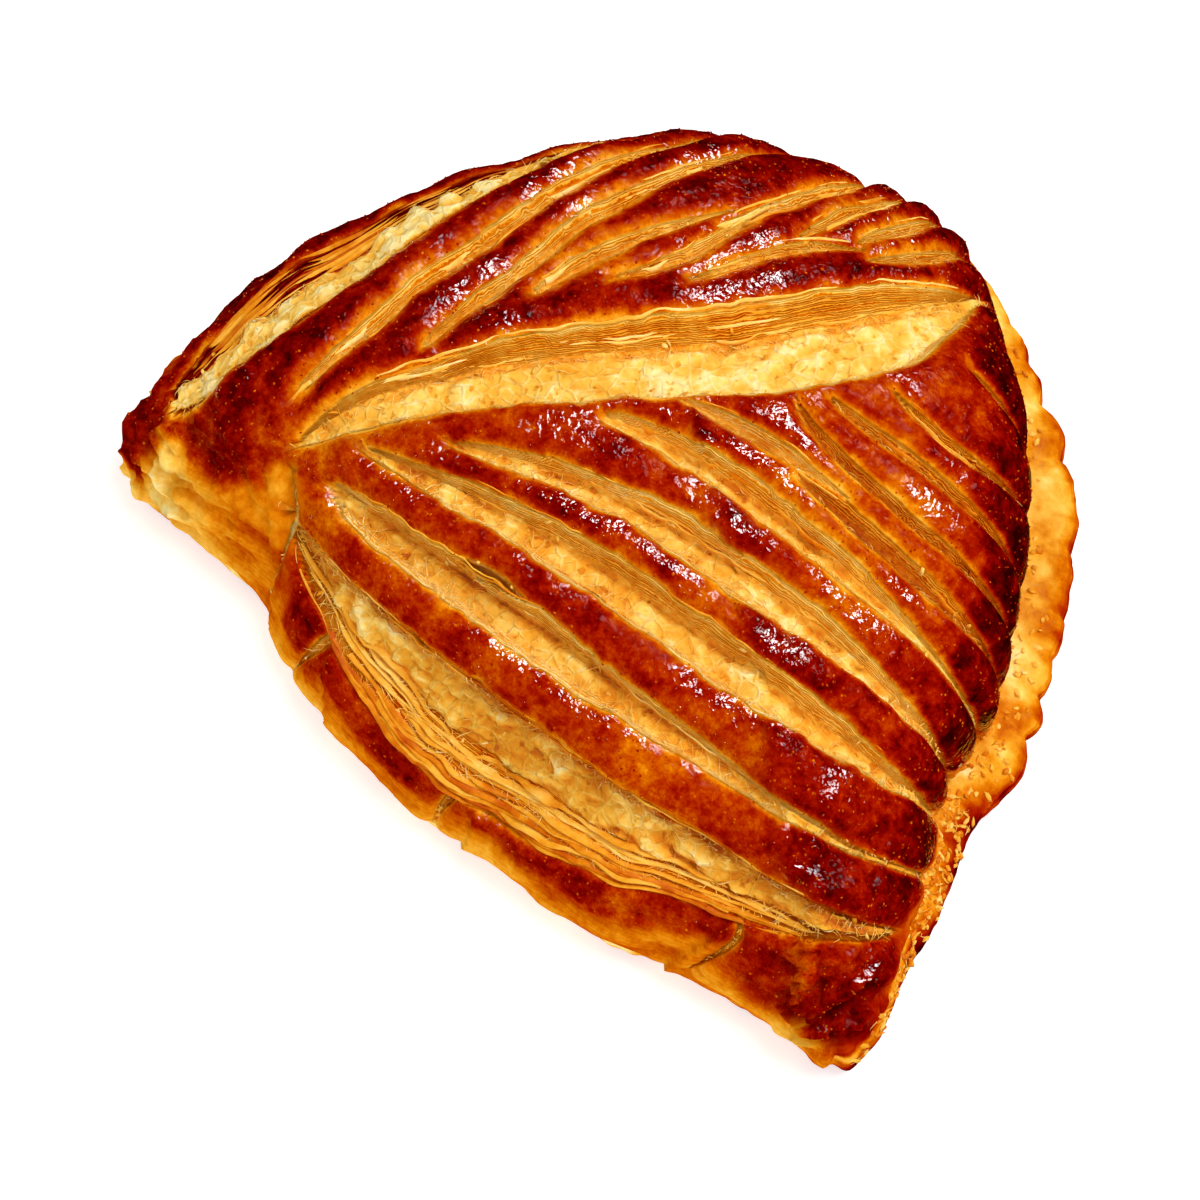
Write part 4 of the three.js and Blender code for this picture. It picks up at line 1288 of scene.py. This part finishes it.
BLISTER_RINGS = ((0.24, 0.25), (0.42, 0.1), (0.5, -0.15))
CRUMB_RINGS = ((0.32, 0.36), (0.5, 0.08), (0.36, -0.25))


def make_bits(body, crust, crumb):
    """Threads, flakes and crumbs of bare dough, and blisters of the baked wash, on the crust."""
    tree = scatter_tree()
    kinds = {
        "dough_threads": ("crumb", {
            "Shape": thread_shape(), "Where": "threads", "Per square millimetre": 1.1, "Seed": 3,
            "Smallest": (0.8, 0.6, 0.4), "Largest": (3.4, 2.2, 1.6), "Tilt": 0.6,
            "Palest": 0.06, "Brownest": 0.24, "Material": crumb}),
        "wash_blisters": ("crust", {
            "Shape": turned_shape("blister", 8, 0.32, BLISTER_RINGS, 0.0), "Where": "blistered",
            "Per square millimetre": 0.3, "Seed": 5, "Smallest": (0.2, 0.2, 0.2),
            "Largest": (0.5, 0.5, 0.7), "Tilt": 0.1,
            "Palest": 0.5, "Brownest": 0.72, "Washed": 1.0, "Material": crust}),
        "dough_flakes": ("crumb", {
            "Shape": flake_shape(), "Where": "bare", "Per square millimetre": 0.14, "Seed": 8,
            "Smallest": (0.5, 0.4, 0.5), "Largest": (2.0, 1.3, 1.4), "Tilt": 0.7,
            "Palest": 0.08, "Brownest": 0.36, "Material": crumb}),
        "dough_crumbs": ("crumb", {
            "Shape": turned_shape("crumb", 6, 0.5, CRUMB_RINGS, 0.25), "Where": "crumbly",
            "Per square millimetre": 1.6, "Seed": 13,
            "Smallest": (0.5, 0.5, 0.3), "Largest": (1.9, 1.1, 1.0), "Tilt": 0.7,
            "Palest": 0.14, "Brownest": 0.46, "Material": crumb}),
    }
    for name, (slot, values) in kinds.items():
        handed_over(grown(name, body.data, tree, values))


# Camera, as worked out from the photo
VIEW_AZIMUTH = 42.4
VIEW_ELEVATION = 64.0
VIEW_DISTANCE = 660.0
VIEW_TARGET = (0.2, -20.7, 8.3)
VIEW_LENS = 139.5
SENSOR = 36.0

# Studio: each lamp has a name, azimuth, elevation, size in metres and power, and may be for sheen alone
LAMPS = (
    ("key", 130.0, 68.0, 0.45, 3.9, False),
    ("fill", 15.0, 40.0, 0.6, 1.1, False),
    ("sheen", 176.0, 60.0, 0.38, 15.0, True),
)
LAMP_DISTANCE = 0.7
LAMP_TARGET = (0.0, 0.0, 0.02)
SKY = (1.0, 0.98, 0.94, 1.0)
SKY_STRENGTH = 0.5
FLOOR_GLOW = 0.55
FLOOR_HALF = 1500.0
FLOOR_Z = -0.05


def direction(azimuth, elevation):
    """Unit direction from the object, azimuth 0 being the fold's side."""
    a, e = math.radians(azimuth), math.radians(elevation)
    return Vector((math.sin(a) * math.cos(e), -math.cos(a) * math.cos(e), math.sin(e)))


def aim(thing, target):
    thing.rotation_euler = (target - thing.location).to_track_quat("-Z", "Y").to_euler()


def set_camera():
    data = bpy.data.cameras.new("camera")
    data.lens = VIEW_LENS
    data.sensor_width = SENSOR
    camera = shown("camera", data)
    target = Vector(VIEW_TARGET) * MM
    camera.location = target + direction(VIEW_AZIMUTH, VIEW_ELEVATION) * VIEW_DISTANCE * MM
    aim(camera, target)
    bpy.context.scene.camera = camera


def area_light(name, azimuth, elevation, size, power, sheen):
    """A square lamp, either for sheen alone or for all but sheen."""
    data = bpy.data.lights.new(name, "AREA")
    data.size = size
    data.energy = power
    lamp = shown(name, data)
    lamp.location = direction(azimuth, elevation) * LAMP_DISTANCE
    lamp.visible_diffuse = not sheen
    lamp.visible_glossy = sheen
    aim(lamp, Vector(LAMP_TARGET))


def set_light():
    world = bpy.data.worlds.new("studio")
    world.use_nodes = True
    background = world.node_tree.nodes["Background"]
    feed(world.node_tree, background.inputs, {"Color": SKY, "Strength": SKY_STRENGTH})
    bpy.context.scene.world = world
    world.cycles_visibility.glossy = False
    for lamp in LAMPS:
        area_light(*lamp)
    bpy.context.scene.view_settings.view_transform = "Standard"


def set_floor():
    signs = ((-1, -1), (1, -1), (1, 1), (-1, 1))
    corners = [(x * FLOOR_HALF, y * FLOOR_HALF, FLOOR_Z) for x, y in signs]
    floor = mesh_object("studio_floor", corners, [(0, 1, 2, 3)], {}, floor_material())
    floor.visible_glossy = False


def handed_over(piece):
    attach(piece, "root")
    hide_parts("turnover")


def build():
    groups = {tree.name: tree for tree in (oven_colours(), mottle(), webbing())}
    crust = crust_material(groups)
    crumb = crumb_material(groups)
    points, triangles, attributes = pastry_surface()
    body = mesh_object("pastry_crust", points, triangles, attributes, crust)
    handed_over(body)
    handed_over(make_layers(crumb))
    make_bits(body, crust, crumb)
    set_floor()
    set_camera()
    set_light()


build()
